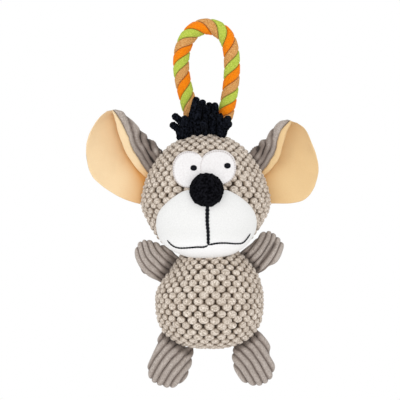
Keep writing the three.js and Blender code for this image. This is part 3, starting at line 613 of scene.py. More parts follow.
# %% [markdown]
# ## Bobble plush
# The cloth is covered in soft round tufts, set like the squares of a chessboard stood on its corner, with dark
# holes between them. Modelling each tuft as its own ball would leave hundreds of loose shapes. Instead the bag is
# one dense ball, and each of its points rises by how near it is to the middle of a tuft. The tufts are laid out
# on the flat cloth of a front and a back panel, so they close up towards the side seam as they do on the toy.

# %% Bobble plush: how high the pile stands
TUFT_PITCH = (10.1, 5.35)
TUFT_HALF = (4.45, 3.55)
TUFT_HEIGHT = 3.0
TUFT_SHIFT = (1.2, 0.8)
PILE_DROP = 2.6
CURL = 0.24
CHANCES = 128


def fine_ball(subdivisions, cuts):
    bm = bmesh.new()
    bmesh.ops.create_icosphere(bm, subdivisions=subdivisions, radius=1)
    bmesh.ops.subdivide_edges(bm, edges=bm.edges, cuts=cuts, use_grid_fill=True)
    for vert in bm.verts:
        vert.co.normalize()
    return bm


def tufts(across, up, seed):
    """Height from 0 to 1 of a tufted cloth at flat places on it, with each tuft a little different."""
    chance = np.random.default_rng(seed).random((4, CHANCES, CHANCES))
    height = np.zeros(len(across))
    row_now = np.floor(up / TUFT_PITCH[1])
    for row_step in (-1, 0, 1, 2):
        row = row_now + row_step
        shift = np.where(row % 2 == 0, 0.0, 0.5)
        column_now = np.round(across / TUFT_PITCH[0] - shift)
        for column_step in (-1, 0, 1):
            column = column_now + column_step
            luck = chance[:, row.astype(int) % CHANCES, column.astype(int) % CHANCES]
            x = (column + shift) * TUFT_PITCH[0] + (luck[0] - 0.5) * TUFT_SHIFT[0]
            z = row * TUFT_PITCH[1] + (luck[1] - 0.5) * TUFT_SHIFT[1]
            wide = TUFT_HALF[0] * (0.92 + 0.16 * luck[2])
            tall = TUFT_HALF[1] * (0.92 + 0.16 * luck[3])
            near = ((across - x) / wide) ** 2 + ((up - z) / tall) ** 2
            height = np.maximum(height, domed(near, 1.25) * (0.86 + 0.14 * luck[2]))
    return height


def flat_on_panel(form, places, reach):
    """Where points of the bag lie on the flat cloth of their panel, front or back."""
    tall = np.where(places[:, 2] < form["z"], form["down"], form["up"])
    way = unit(np.stack([(places[:, 0] - form["x"]) / form["half_width"], places[:, 1] / form["half_depth"],
                         (places[:, 2] - form["z"]) / tall], axis=1))
    angle = np.arccos(np.clip(np.abs(way[:, 1]), 0, 1))
    round_it = np.maximum(np.hypot(way[:, 0], way[:, 2]), 1e-9)
    front = np.where(way[:, 1] < 0, 1, -1)
    return reach * angle * way[:, 0] / round_it * front, \
        reach * tall / form["half_width"] * angle * way[:, 2] / round_it


# %% Bobble plush: small lumps
WAVES = 9


def lumps(points, size, seed):
    """Soft bumps, mostly from -1 to 1, that don't repeat nearby. They are a few crossing waves."""
    luck = np.random.default_rng(seed)
    total = np.zeros(len(points))
    for _ in range(WAVES):
        way = luck.normal(size=3)
        way *= (0.7 + 0.6 * luck.random()) / np.linalg.norm(way)
        total += np.sin(points @ way * math.tau / size + luck.random() * math.tau)
    return total / (WAVES / 2)


# %% Bobble plush: a stuffed bag
SEAM_WIDTH = 0.7
SEAM_DEPTH = 0.3
TWISTS = (2.6, 1.5)


def plush_bag(form, reach, seed, dent):
    """The bag as a bmesh in millimetres, with its nap. reach is the size of its flat panels, and dent moves its
    points before the pile rises from them."""
    bm = fine_ball(6, 2)
    places = swollen(form, spots(bm))
    across, up = flat_on_panel(form, places, reach)
    pile = tufts(across, up, seed)
    places = dent(places)
    move(bm, places)
    seam = bell(places[:, 1], SEAM_WIDTH)
    pile = pile * (1 - seam)
    normal = outward(bm)
    curl = CURL * (0.5 * lumps(places, TWISTS[0], seed) + 0.7 * lumps(places, TWISTS[1], seed + 1)) \
        * smoothstep(pile, 0.2, 0.6)
    move(bm, places + normal * (TUFT_HEIGHT * pile - PILE_DROP - SEAM_DEPTH * seam + curl)[:, None])
    # The nap falls along the side seam and in the dips of the curl, where the finish paints shade.
    return bm, np.clip(pile + 0.5 * np.minimum(curl, 0), 0, 1)


# %% [markdown]
# ## Head
# The head is one such bag. Its front carries the face, and ears and rope are sewn into its seam.

# %% Head
cheek_pushes = [
    {"side": 1, "out": 1.8, "z": -151, "height": 14, "fades": (30, 52)},
    {"side": 1, "out": -2.2, "z": -178, "height": 14, "fades": (20, 45)},
    {"side": -1, "out": 1.5, "z": -153, "height": 9, "fades": (30, 52)},
    {"side": -1, "out": -1.5, "z": -174, "height": 15, "fades": (20, 45)},
]


def cheeks(places):
    """Fills the cheeks at the ears' lower ends and draws in the jaw, as the stuffing does."""
    push = np.zeros(len(places))
    for cheek in cheek_pushes:
        push += cheek["side"] * cheek["out"] * bell(places[:, 2] - cheek["z"], cheek["height"]) \
            * smoothstep(cheek["side"] * places[:, 0], *cheek["fades"])
    return places + push[:, None] * [1, 0, 0]


head_bm, head_pile = plush_bag(HEAD, reach=53.5, seed=11, dent=cheeks)
head = finished("head_plush", head_bm, bobble_plush, head_pile)
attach(head, "head")
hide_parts("head_front_panel", "head_back_panel", "head_filling")

# %% [markdown]
# ## Body
# The body is a second bag. The head presses a hollow into its top, so points that would lie inside the head
# are pushed down to just under it. Where the toy bends at the neck the cloth bends with it: the top of the body
# follows the head and the rest follows the body.

# %% Body
NECK_GAP = 0.5
CHIN_GROW = (1.05, 1.2)
SHOULDER = {"dent": 6, "z": (-236, -208), "left": (8, 40)}


def under_head(places):
    """Pushes points out of the head, downward, and draws in the left shoulder."""
    wide, deep = [half * CHIN_GROW[0] + CHIN_GROW[1] for half in (HEAD["half_width"], HEAD["half_depth"])]
    share = ((places[:, 0] - HEAD["x"]) / wide) ** 2 + (places[:, 1] / deep) ** 2
    floor = HEAD["z"] - (HEAD["down"] + NECK_GAP) * np.sqrt(np.clip(1 - share, 0, 1))
    places = places.copy()
    places[:, 2] = np.where(share < 1, np.minimum(places[:, 2], floor), places[:, 2])
    shoulder = smoothstep(places[:, 2], *SHOULDER["z"]) * smoothstep(-places[:, 0], *SHOULDER["left"])
    places[:, 0] += SHOULDER["dent"] * shoulder
    return places


torso_bm, torso_pile = plush_bag(TORSO, reach=46, seed=23, dent=under_head)
torso = finished("torso_plush", torso_bm, bobble_plush, torso_pile)
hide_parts("torso_front_panel", "torso_back_panel", "torso_filling")
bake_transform(torso, "head", "torso", start=(0, 0, -0.203), end=(0, 0, -0.243))

# %% [markdown]
# ## Flat sewn pads
# The muzzle, the eyes and the paws are all pads: an outline filled by two faces that meet at its edge. A ball of
# rings round one axis has just that layout, so each ring becomes the outline at a share of its size, and the
# two halves become the front and the back.

# %% Flat sewn pads
def pad(segments, rings, place):
    """A closed pad. place(turn, share, front) gives points for turns from 0 to 1 and shares from 0 to 1."""
    bm = bmesh.new()
    bmesh.ops.create_uvsphere(bm, u_segments=segments, v_segments=rings, radius=1)
    ball = spots(bm)
    turn = np.arctan2(ball[:, 1], ball[:, 0]) / math.tau % 1
    edge = math.cos(math.pi / 2 / rings)
    share = np.clip(np.hypot(ball[:, 0], ball[:, 1]) / edge, 0, 1)
    move(bm, place(turn, share, ball[:, 2] > 0))
    return facing_out(bm)


def round_outline(line):
    """A function from turns, 0 to 1, to points on a closed outline."""
    stops = np.linspace(0, 1, len(line))
    return lambda turn: sampled(line, stops, turn)


def seen_spots(obj):
    """The places of an object's points, in millimetres."""
    return np.array([vert.co[:] for vert in obj.data.vertices]) / MM


# %% [markdown]
# ## Muzzle
# A smooth white panel stuffed from behind. It is thickest in the middle and rolls under at its seam.

# %% Muzzle
MUZZLE = {"x": 0.4, "drop": 24.5, "half_width": 43, "half_height": 29.5, "bulge": 9, "edge": 1.2}
MUZZLE_GAP = 0.5
MUZZLE_BACK = 3.0
muzzle_shares = [
    (-0.42, 0.95), (-0.61, 0.8), (-0.8, 0.58), (-0.94, 0.33), (-0.99, 0.05), (-0.95, -0.37), (-0.76, -0.69),
    (-0.38, -0.94), (0, -1), (0.39, -0.94), (0.7, -0.74), (0.88, -0.5), (1, -0.13), (0.99, 0.22), (0.87, 0.53),
    (0.58, 0.86), (0.37, 0.98), (-0.05, 0.97),
]
muzzle_x, muzzle_z = HEAD["x"] + MUZZLE["x"], HEAD["z"] - MUZZLE["drop"]
muzzle_rim = smooth_line([(x * MUZZLE["half_width"], z * MUZZLE["half_height"]) for x, z in muzzle_shares],
                         400, closed=True)
muzzle_outline = round_outline(muzzle_rim)


def muzzle_lift(share):
    return MUZZLE_GAP + MUZZLE["edge"] + MUZZLE["bulge"] * domed(share, 2.5)


def muzzle_place(turn, share, front):
    reach = muzzle_outline(turn) * share[:, None]
    lift = np.where(front, muzzle_lift(share), MUZZLE_GAP - MUZZLE_BACK)
    return on_front(HEAD, muzzle_x + reach[:, 0], muzzle_z + reach[:, 1], lift)


muzzle = finished("muzzle_pad", pad(180, 91, muzzle_place), muzzle_pile)
# Painted light: the muzzle is painted paler toward its lower part, against the shade under the stuffed pad.
mark(muzzle, "underside_light", smoothstep(seen_spots(muzzle)[:, 2] - muzzle_z, -8, -27))
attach(muzzle, "head")
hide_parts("muzzle")

# %% [markdown]
# ## Face lines
# A thick black cord runs down from the nose and a thin line of stitches makes the mouth. Both lie on the muzzle,
# so each point of a line is looked up on the muzzle's face and a flattened tube is laid along them.

# %% Face lines
THREAD_END = 12
THREAD_LIFT = 0.25
rim_angles = np.arctan2(muzzle_rim[:, 1], muzzle_rim[:, 0])
rim_reach = np.hypot(muzzle_rim[:, 0], muzzle_rim[:, 1])
rim_sorted = np.argsort(rim_angles)


def on_muzzle(x, z, lift):
    """The points of the muzzle's face that are seen at x, z."""
    guess = np.stack([np.asarray(x, float), np.asarray(z, float)], axis=1)
    target = guess.copy()
    for _ in range(10):
        offset = guess - [muzzle_x, muzzle_z]
        angle = np.arctan2(offset[:, 1], offset[:, 0])
        reach = np.interp(angle, rim_angles[rim_sorted], rim_reach[rim_sorted])
        share = np.clip(np.hypot(offset[:, 0], offset[:, 1]) / reach, 0, 1)
        found = on_front(HEAD, guess[:, 0], guess[:, 1], muzzle_lift(share) + lift)
        guess = guess + target - found[:, [0, 2]]
    return found


def laid_thread(name, corners, widths, height, stitches, node, steps=160, sides=12):
    """A flattened tube along a line of (x, rise) from the head's centre. Widths go from its start to its end."""
    line = smooth_line([(HEAD["x"] + x, HEAD["z"] + z) for x, z in corners], steps)
    along = unit(np.gradient(line, axis=0))
    stops = np.linspace(0, 1, steps + 1)

    def place(u, v):
        here, way = sampled(line, stops, v), sampled(along, stops, v)
        end = quarter_round(np.minimum(v, 1 - v) * THREAD_END)
        stitch = np.sin(math.tau * stitches * v)
        wide = np.interp(v, [0, 1], widths) / 2 * end * (1 + 0.18 * stitch)
        tall = height * end * (1 + 0.25 * stitch)
        side = np.cos(math.tau * u) * wide
        return on_muzzle(here[:, 0] - way[:, 1] * side, here[:, 1] + way[:, 0] * side,
                         THREAD_LIFT + np.sin(math.tau * u) * tall)

    obj = finished(name, swept(sides, steps, place), face_thread)
    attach(obj, "head")
    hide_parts(node)
    return obj


laid_thread("snout_cord", [(1.7, -9.5), (1.5, -17), (1.5, -24), (2.2, -33), (2.4, -44.5)], (3.5, 2.5), 0.9, 11,
            "snout_line")
laid_thread("mouth_stitch_left",
            [(-34.2, -40.2), (-29.8, -44.8), (-24.5, -47), (-17, -47), (-8, -46.2), (-1.2, -46), (2.2, -44.6)],
            (1.1, 1.6), 0.5, 16, "mouth_line_left")
laid_thread("mouth_stitch_right",
            [(2.6, -44.2), (4.6, -43.8), (10, -42.8), (18, -42.6), (27.5, -43.3), (33, -42.6), (37, -38.8),
             (40, -34.2)],
            (1.6, 1.1), 0.5, 18, "mouth_line_right")

# %% [markdown]
# ## Eyes
# Two ovals of white felt, sewn down with a close stitch that leaves a raised rim, and a small black pupil on
# each. The right eye lies over the left where they meet. The felt bends round the head.

# %% Eyes
EYE_GAP = 0.5
FELT = 1.2
FELT_ROUND = 0.9
FELT_BACK = 2.0
RIM = {"inward": 1.1, "width": 0.6, "height": 0.3, "stitches": 90}
RIM_SHADE = {"inward": 0.3, "width": 0.7, "mean": 0.62, "swing": 0.3, "waves": 46}
EYES_MEET = {"x": -3.5, "fades": (2, 6)}
FULL = 2.2
eyes = [
    {"side": "left", "x": -14.6, "rise": 22.3, "half_width": 14.2, "half_height": 16.1, "pupil": (4.4, 0.9),
     "over": 0.0},
    {"side": "right", "x": 10.9, "rise": 24.0, "half_width": 15.7, "half_height": 15.2, "pupil": (7.8, 0.9),
     "over": 0.45},
]
PUPIL = {"half_width": 2.9, "half_height": 2.5, "height": 1.3, "sunk": 0.3, "back": 0.4}


def oval_place(x, z, half_width, half_height, low, high):
    """A pad that follows the head. high(share, turn) is the height of its face."""
    def place(turn, share, front):
        side, rise = [np.sign(wave) * np.abs(wave) ** (2 / FULL)
                      for wave in (np.cos(math.tau * turn), np.sin(math.tau * turn))]
        lift = np.where(front, high(share, turn), low)
        return on_front(HEAD, x + half_width * share * side, z + half_height * share * rise, lift)
    return place


for eye in eyes:
    size = min(eye["half_width"], eye["half_height"])

    def felt_height(share, turn, size=size, over=eye["over"]):
        inward = (1 - share) * size
        stitch = 0.6 + 0.4 * np.sin(math.tau * turn * RIM["stitches"])
        return EYE_GAP + over + FELT * quarter_round(inward / FELT_ROUND) \
            + RIM["height"] * bell(inward - RIM["inward"], RIM["width"]) * stitch

    eye_x, eye_z = HEAD["x"] + eye["x"], HEAD["z"] + eye["rise"]
    patch = finished(f"eye_felt_{eye['side']}", pad(180, 61, oval_place(
        eye_x, eye_z, eye["half_width"], eye["half_height"], EYE_GAP - FELT_BACK, felt_height)), eye_felt)
    patch_spots = seen_spots(patch)
    off_x = (patch_spots[:, 0] - eye_x) / eye["half_width"]
    off_z = (patch_spots[:, 2] - eye_z) / eye["half_height"]
    inward = (1 - (np.abs(off_x) ** FULL + np.abs(off_z) ** FULL) ** (1 / FULL)) * size
    thread = RIM_SHADE["mean"] + RIM_SHADE["swing"] * np.sin(np.arctan2(off_z, off_x) * RIM_SHADE["waves"])
    apart = smoothstep(np.abs(patch_spots[:, 0] - HEAD["x"] - EYES_MEET["x"]), *EYES_MEET["fades"])
    if eye["over"]:
        apart = 0.5 + 0.5 * apart
    mark(patch, "rim", bell(inward - RIM_SHADE["inward"], RIM_SHADE["width"]) * thread * apart)
    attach(patch, "head")
    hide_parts(f"eye_patch_{eye['side']}")
    base = EYE_GAP + eye["over"] + FELT

    def pupil_height(share, turn, base=base):
        return base - PUPIL["sunk"] + PUPIL["height"] * domed(share, 4)

    pupil = finished(f"pupil_stitch_{eye['side']}", pad(40, 15, oval_place(
        eye_x + eye["pupil"][0], eye_z + eye["pupil"][1], PUPIL["half_width"], PUPIL["half_height"],
        base - PUPIL["back"], pupil_height)), face_thread)
    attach(pupil, "head")
    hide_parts(f"pupil_{eye['side']}")

# %% [markdown]
# ## Nose
# A ball of black fleece. Its nap is lumpy, so the ball is given bumps of two sizes before the bump map adds
# the fibres. Its back is pressed flat on the head.

# %% Nose
NOSE = {"x": 0.9, "rise": 4.3, "radius": 15.1, "out": 9.5, "flat": 1.5}

nose_bm = fine_ball(6, 1)
nose_ball = spots(nose_bm)
nose_x, nose_z = HEAD["x"] + NOSE["x"], HEAD["z"] + NOSE["rise"]
nose_y = float(on_front(HEAD, nose_x, nose_z, NOSE["out"])[1])
nose_centre = np.array([nose_x, nose_y, nose_z])
nose_nap = 0.4 * lumps(nose_ball * NOSE["radius"], 5.0, 5) + 0.35 * lumps(nose_ball * NOSE["radius"], 2.4, 6)
nose_spots = nose_centre + nose_ball * (NOSE["radius"] - 0.2 + nose_nap)[:, None]
nose_spots[:, 1] = np.minimum(nose_spots[:, 1], NOSE["flat"] - depth_at(HEAD, nose_spots[:, 0], nose_spots[:, 2]))
move(nose_bm, nose_spots)
nose = finished("nose_ball", nose_bm, nose_fleece)
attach(nose, "head")
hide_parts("nose")

# %% [markdown]
# ## Hair
# Fourteen cut lengths of black chenille stand up round the foot of the rope. Each is a tube along its own curve,
# with a lumpy pile and a rounded end. Their feet stay on the head, but they lean on the rope, so their tips
# follow it when the loop swings.

# %% Hair
HAIR_RADIUS = 3.2
HAIR_STEM = 7
HAIR_SUNK = 1.5
HAIR_BEND = (-97, -76)
hair_strands = [
    ((-23.2, -6), (-8.4, -3, 14.2)), ((-19.5, -9), (-9.9, -7, 20.9)), ((-15.5, -11.5), (-3.1, -9.5, 18.6)),
    ((-12.5, -8.5), (4.7, -15.5, 33.4)), ((-4, -5.5), (1.6, -2.5, 29.8)), ((-6.6, -10.6), (0.4, -7.4, 26)),
    ((0.2, -9.2), (0.6, -4.8, 25)), ((-0.5, -10.4), (-1.4, -17.6, 10.2)), ((2.4, -4.2), (1.1, -3, 27.1)),
    ((7.6, -7.6), (0.9, -4, 27.9)), ((5.4, -10), (0.8, -9.8, 17.8)), ((12, -9.2), (0.4, -11.4, 18.6)),
    ((13.2, -11.2), (8.8, -12.3, 16.6)), ((15.6, -9.2), (7.0, -9.5, 12.6)),
]
HAIR_KNEES = {1: (-1, -2, 8), 2: (-1, -4.5, 12), 6: (-1, -6, 9), 8: (-0.5, -6, 4.5), 13: (1.2, -5, 8.5),
              14: (1.6, -4, 6)}


def on_top(x, y):
    """The point on top of the head over x, y, measured from its centre, and the normal there."""
    low, high = 0.0, float(HEAD["up"])
    for _ in range(60):
        middle = (low + high) / 2
        half = float(half_width_at(HEAD, middle / HEAD["up"]))
        inside = half > 0 and (x / half) ** 2 + (y * HEAD["half_width"] / HEAD["half_depth"] / half) ** 2 < 1
        low, high = (middle, high) if inside else (low, middle)
    normal = np.array([x / HEAD["half_width"] ** 2, y / HEAD["half_depth"] ** 2, low / HEAD["up"] ** 2])
    return np.array([HEAD["x"] + x, y, HEAD["z"] + low]), normal / np.linalg.norm(normal)


def tube(line, radius, sides, steps, seed, lump=0.45):
    """A closed tube along a line, with rounded ends and a lumpy pile."""
    line = smooth_line(line, steps)
    way = unit(np.gradient(line, axis=0))
    side = unit(np.cross(way, [0.0, 1.0, 0.3]))
    other = np.cross(way, side)
    long = length_of(line)

    def place(u, v):
        step = np.clip(np.round(v * steps).astype(int), 0, steps)
        size = radius * quarter_round(np.minimum(v, 1 - v) * long / radius)
        angle = math.tau * u
        round_it = side[step] * np.cos(angle)[:, None] + other[step] * np.sin(angle)[:, None]
        skin = line[step] + round_it * radius
        pile = lump * (0.5 * lumps(skin, TWISTS[0], seed) + 0.5 * lumps(skin, TWISTS[1], seed + 1))
        return line[step] + round_it * (size * (1 + pile / radius))[:, None]

    return swept(sides, steps, place)


for index, (foot, tip) in enumerate(hair_strands, start=1):
    start, normal = on_top(*foot)
    knee = normal * HAIR_STEM + np.array([tip[0], tip[1], 0]) * 0.1
    if index in HAIR_KNEES:
        knee = np.array(HAIR_KNEES[index], float)
    line = [start - normal * HAIR_SUNK, start + knee, start + np.array(tip, float)]
    lock = finished(f"hair_{index}", tube(line, HAIR_RADIUS, sides=28, steps=64, seed=40 + index), chenille)
    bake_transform(lock, "head", "rope_loop", start=(0, 0, HAIR_BEND[0] * MM), end=(0, 0, HAIR_BEND[1] * MM))
    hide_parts(f"hair_strand_{index}")

# %% [markdown]
# ## Where ears and paws are sewn on
# Ears and paws are sewn into a side seam, along a stretch of the bag's outline. This gives that stretch, the
# directions along and out of it, and the line that the piece bends about.

# %% Roots
ROOT_TUCK = 4.0


def root_line(form, sign, top_share, end_share, gap, steps=4):
    """A stretch of a form's outline moved out by a gap, with its directions and the line to bend about."""
    shares = np.linspace(top_share, end_share, steps + 1)
    nudge = (top_share - end_share) / steps / steps

    def outline(share):
        return np.stack([form["x"] + sign * half_width_at(form, share), height_at(form, share)], axis=-1)

    along = outline(shares + nudge) - outline(shares - nudge)
    normal = unit(np.stack([along[:, 1], -along[:, 0]], axis=1))
    normal *= np.sign(normal[:, :1]) * sign
    points = outline(shares) + normal * gap
    up = unit(points[0] - points[-1])
    out = np.array([up[1], -up[0]])
    out *= np.sign(out[0]) * sign
    middle = (points[0] + points[-1]) / 2
    reach = max((points - middle) @ out)
    return {"points": points, "up": up, "out": out, "middle": middle, "hinge": middle + out * reach}


def corners_from(root, first, shares, length, height):
    """Corners that start at a root's end and go on at shares of a length outward and a height upward."""
    return [first] + [root["middle"] + root["out"] * o * length + root["up"] * u * height for o, u in shares]


def from_hinge(root, distance):
    """A place in metres at a distance outward from the line that the piece bends about."""
    x, z = root["hinge"] + root["out"] * distance
    return x * MM, 0, z * MM


# %% [markdown]
# ## Ears
# An ear is a canvas lining and a corduroy back, sewn round the rim and cupped. Its inner upper side is folded
# forward over the lining, and the lining is turned round the free edge of that fold as a pale strip. Cutting and
# folding flat cloth in the computer would be slow to steer. Instead one bent line is drawn for each step from
# root to tip, from the rim through the cup and the fold to the free edge, and both layers follow it.

# %% Ears: the bent line
EAR = {"lining": 1.1, "back": 1.5, "gap": 0.3, "cup": 7, "fold_rise": 4.6, "root_gap": 1.3}
across_shares = [1, 0.78, 0.56, 0.36, 0.18]
cup_shares = [-0.3, 0.35, 0.8, 1, 0.9]
station_shares = [0, 0.25, 0.5, 0.75, 1]
ears = [
    {"side": "left", "sign": -1, "length": 66.8, "height": 69, "root": (0.69, -0.13), "canvas": canvas_left,
     "crease_shade": 0.95,
     "rim_shares": [(0.21, -0.41), (0.44, -0.38), (0.72, -0.28), (0.88, -0.12), (0.955, 0.04), (0.98, 0.26),
                    (0.935, 0.48), (0.875, 0.59)],
     "fold_shares": [(0.09, 0.41), (0.26, 0.47), (0.44, 0.55), (0.55, 0.6), (0.66, 0.65), (0.76, 0.66)],
     "flap_shares": [0.57, 0.42, 0.31, 0.26, 0.3], "seam_shares": [0.49, 0.29, 0.17, 0.13, 0.16]},
    {"side": "right", "sign": 1, "length": 54.7, "height": 67.8, "root": (0.67, -0.11), "canvas": canvas_right_shaded,
     "crease_shade": 0.5,
     "rim_shares": [(0.17, -0.43), (0.32, -0.485), (0.51, -0.495), (0.68, -0.435), (0.85, -0.3), (0.95, -0.16),
                    (0.985, 0.16), (0.965, 0.38), (0.885, 0.49)],
     "fold_shares": [(0.17, 0.41), (0.33, 0.45), (0.46, 0.53), (0.62, 0.58), (0.74, 0.59)],
     "flap_shares": [0.53, 0.34, 0.24, 0.23, 0.3], "seam_shares": [0.45, 0.24, 0.12, 0.09, 0.12]},
]
EAR_STEPS = 84
EAR_ACROSS = 110
BENT_STEPS = 400


def bent_line(ear, share, width):
    """The bent line at one step: its points [inward, forward] from the fold, how far along it each of them is, and
    how far along it the seam is."""
    opening = float(smoothstep(share, 0, 0.5))
    closing = 1 - float(smoothstep(share, 0.6, 1))
    cup = EAR["cup"] * opening * min(1, width / EAR["cup"] / 4)
    bend = (EAR["fold_rise"] * opening * closing + EAR["gap"]) / 2
    seam = max(np.interp(share, station_shares, ear["seam_shares"]) * width, bend + 2 * EAR["gap"])
    flap = max(np.interp(share, station_shares, ear["flap_shares"]) * width, seam + 3 * EAR["gap"])
    corners = [(a * width, -cup * c - bend) for a, c in zip(across_shares, cup_shares)]
    corners += [(bend, -bend), (0.3 * bend, -0.7 * bend), (0, 0), (0.3 * bend, 0.7 * bend), (bend, bend)]
    corners += [(seam, bend), (flap, bend)]
    fine = smooth_line(corners, BENT_STEPS)
    along = distances(fine)
    beyond = (np.arange(len(fine)) > np.argmin(fine[:, 0])) & (fine[:, 0] >= seam)
    seam_at = along[np.argmax(beyond)] if beyond.any() else along[-1]
    return fine, along, seam_at


# %% Ears: cloth along the bent line
ROOT_STEPS = 100
BACK_TUCK = 0.9
EDGE_ROUND = 1.6
TIP_STEEP = 18
BASE_STEEP = 30
EAR_FACTS = ("seam_distance", "share_along", "layer_side", "rim_distance", "fold_distance")
UNDER_FOLD = 99
CLOTH_STRETCH = 1.3


def ear_cloth(ear, root, low, high, ends_at_seam):
    """A closed layer between two distances outside the bent line, as a bmesh. high(q) may vary with q, which is
    mm from the seam, positive toward the rim. Each point carries the numbers that EAR_FACTS names."""
    rim = smooth_line(corners_from(root, root["points"][-1], ear["rim_shares"], ear["length"], ear["height"]),
                      EAR_STEPS)
    fold = smooth_line(corners_from(root, root["points"][0], ear["fold_shares"], ear["length"], ear["height"]),
                       EAR_STEPS)
    root_curve = smooth_line(root["points"], ROOT_STEPS)
    root_stops = np.linspace(0, 1, ROOT_STEPS + 1)
    shell = EAR["lining"] + EAR["back"] + EAR["gap"]
    rows = []
    facts = []
    for i in range(EAR_STEPS + 1):
        share = i / EAR_STEPS
        start, end = fold[i], rim[i]
        width = float(np.linalg.norm(end - start))
        fine, along, seam_at = bent_line(ear, share, width)
        stop = seam_at if ends_at_seam else along[-1]
        wanted = np.linspace(BACK_TUCK if ends_at_seam else 0, stop, EAR_ACROSS + 1)
        line = sampled(fine, along, wanted)
        way = np.gradient(line, axis=0)
        way /= np.maximum(np.linalg.norm(way, axis=1, keepdims=True), 1e-9)
        normal = np.stack([-way[:, 1], way[:, 0]], axis=1)
        q = seam_at - wanted
        before = wanted < along[np.argmin(fine[:, 0])]
        from_fold = np.where(before, (line[:, 0] - fine[-1, 0]).clip(0), UNDER_FOLD)
        edge = np.minimum(wanted - wanted[0], stop - wanted)
        bottom = np.full(len(q), low)
        top = high(q)
        middle = (bottom + top) / 2
        half = (top - bottom) / 2 * quarter_round(edge / EDGE_ROUND) * quarter_round((1 - share) * TIP_STEEP) \
            * quarter_round(share * BASE_STEEP)
        blend = max(0, 1 - 3 * share) ** 2
        for side in (-1, 1):
            p = line + normal * (middle + side * half)[:, None]
            inward = (p[:, 0] + shell * (1 - p[:, 0] / width)) / width
            straight = start + (end - start) * inward[:, None]
            on_root = sampled(root_curve, root_stops, np.clip(inward, 0, 1))
            flat = straight + (on_root - straight) * blend
            flat = flat - root["out"] * ROOT_TUCK * (1 - smoothstep(share, 0, 0.2))
            rows.append(np.stack([flat[:, 0], -p[:, 1], flat[:, 1]], axis=1))
            facts.append(np.stack([q, np.full(len(q), share), np.full(len(q), side), wanted, from_fold], axis=1))

    bm, u, v = sheet(2 * EAR_ACROSS, EAR_STEPS)
    station = np.round(v * EAR_STEPS).astype(int)
    step = np.round(u * 2 * EAR_ACROSS).astype(int)
    side = (step > EAR_ACROSS).astype(int)
    across = np.where(side == 0, step, 2 * EAR_ACROSS - step)
    move(bm, np.array(rows)[2 * station + side, across])
    found = np.array(facts)[2 * station + side, across]
    for column, attribute in enumerate(EAR_FACTS):
        layer = bm.verts.layers.float.new(attribute)
        for vert, value in zip(bm.verts, found[:, column]):
            vert[layer] = value
    uv_layer = bm.loops.layers.uv.active
    distance = bm.verts.layers.float["seam_distance"]
    for face in bm.faces:
        for loop in face.loops:
            loop[uv_layer].uv = (loop.vert[distance], loop[uv_layer].uv.y * ear["height"] * CLOTH_STRETCH)
    bmesh.ops.remove_doubles(bm, verts=bm.verts, dist=0.02)
    return facing_out(bm)


def facts_of(bm):
    return [np.array([vert[bm.verts.layers.float[name]] for vert in bm.verts]) for name in EAR_FACTS]


# %% Ears: lining and back
WALE = 5.7
WALE_HEIGHT = 2.2
CREASE_SHADE_WIDTH = 7
PUCKER = {"size": 8, "height": 1.2}
EAR_BEND = 14


def wales(distance, pitch=WALE):
    """Rounded ridges with narrow grooves, 0 to 1, one every pitch millimetres."""
    return np.clip(1 - (2 * (distance / pitch % 1) - 1) ** 2, 0, 1) ** 0.62


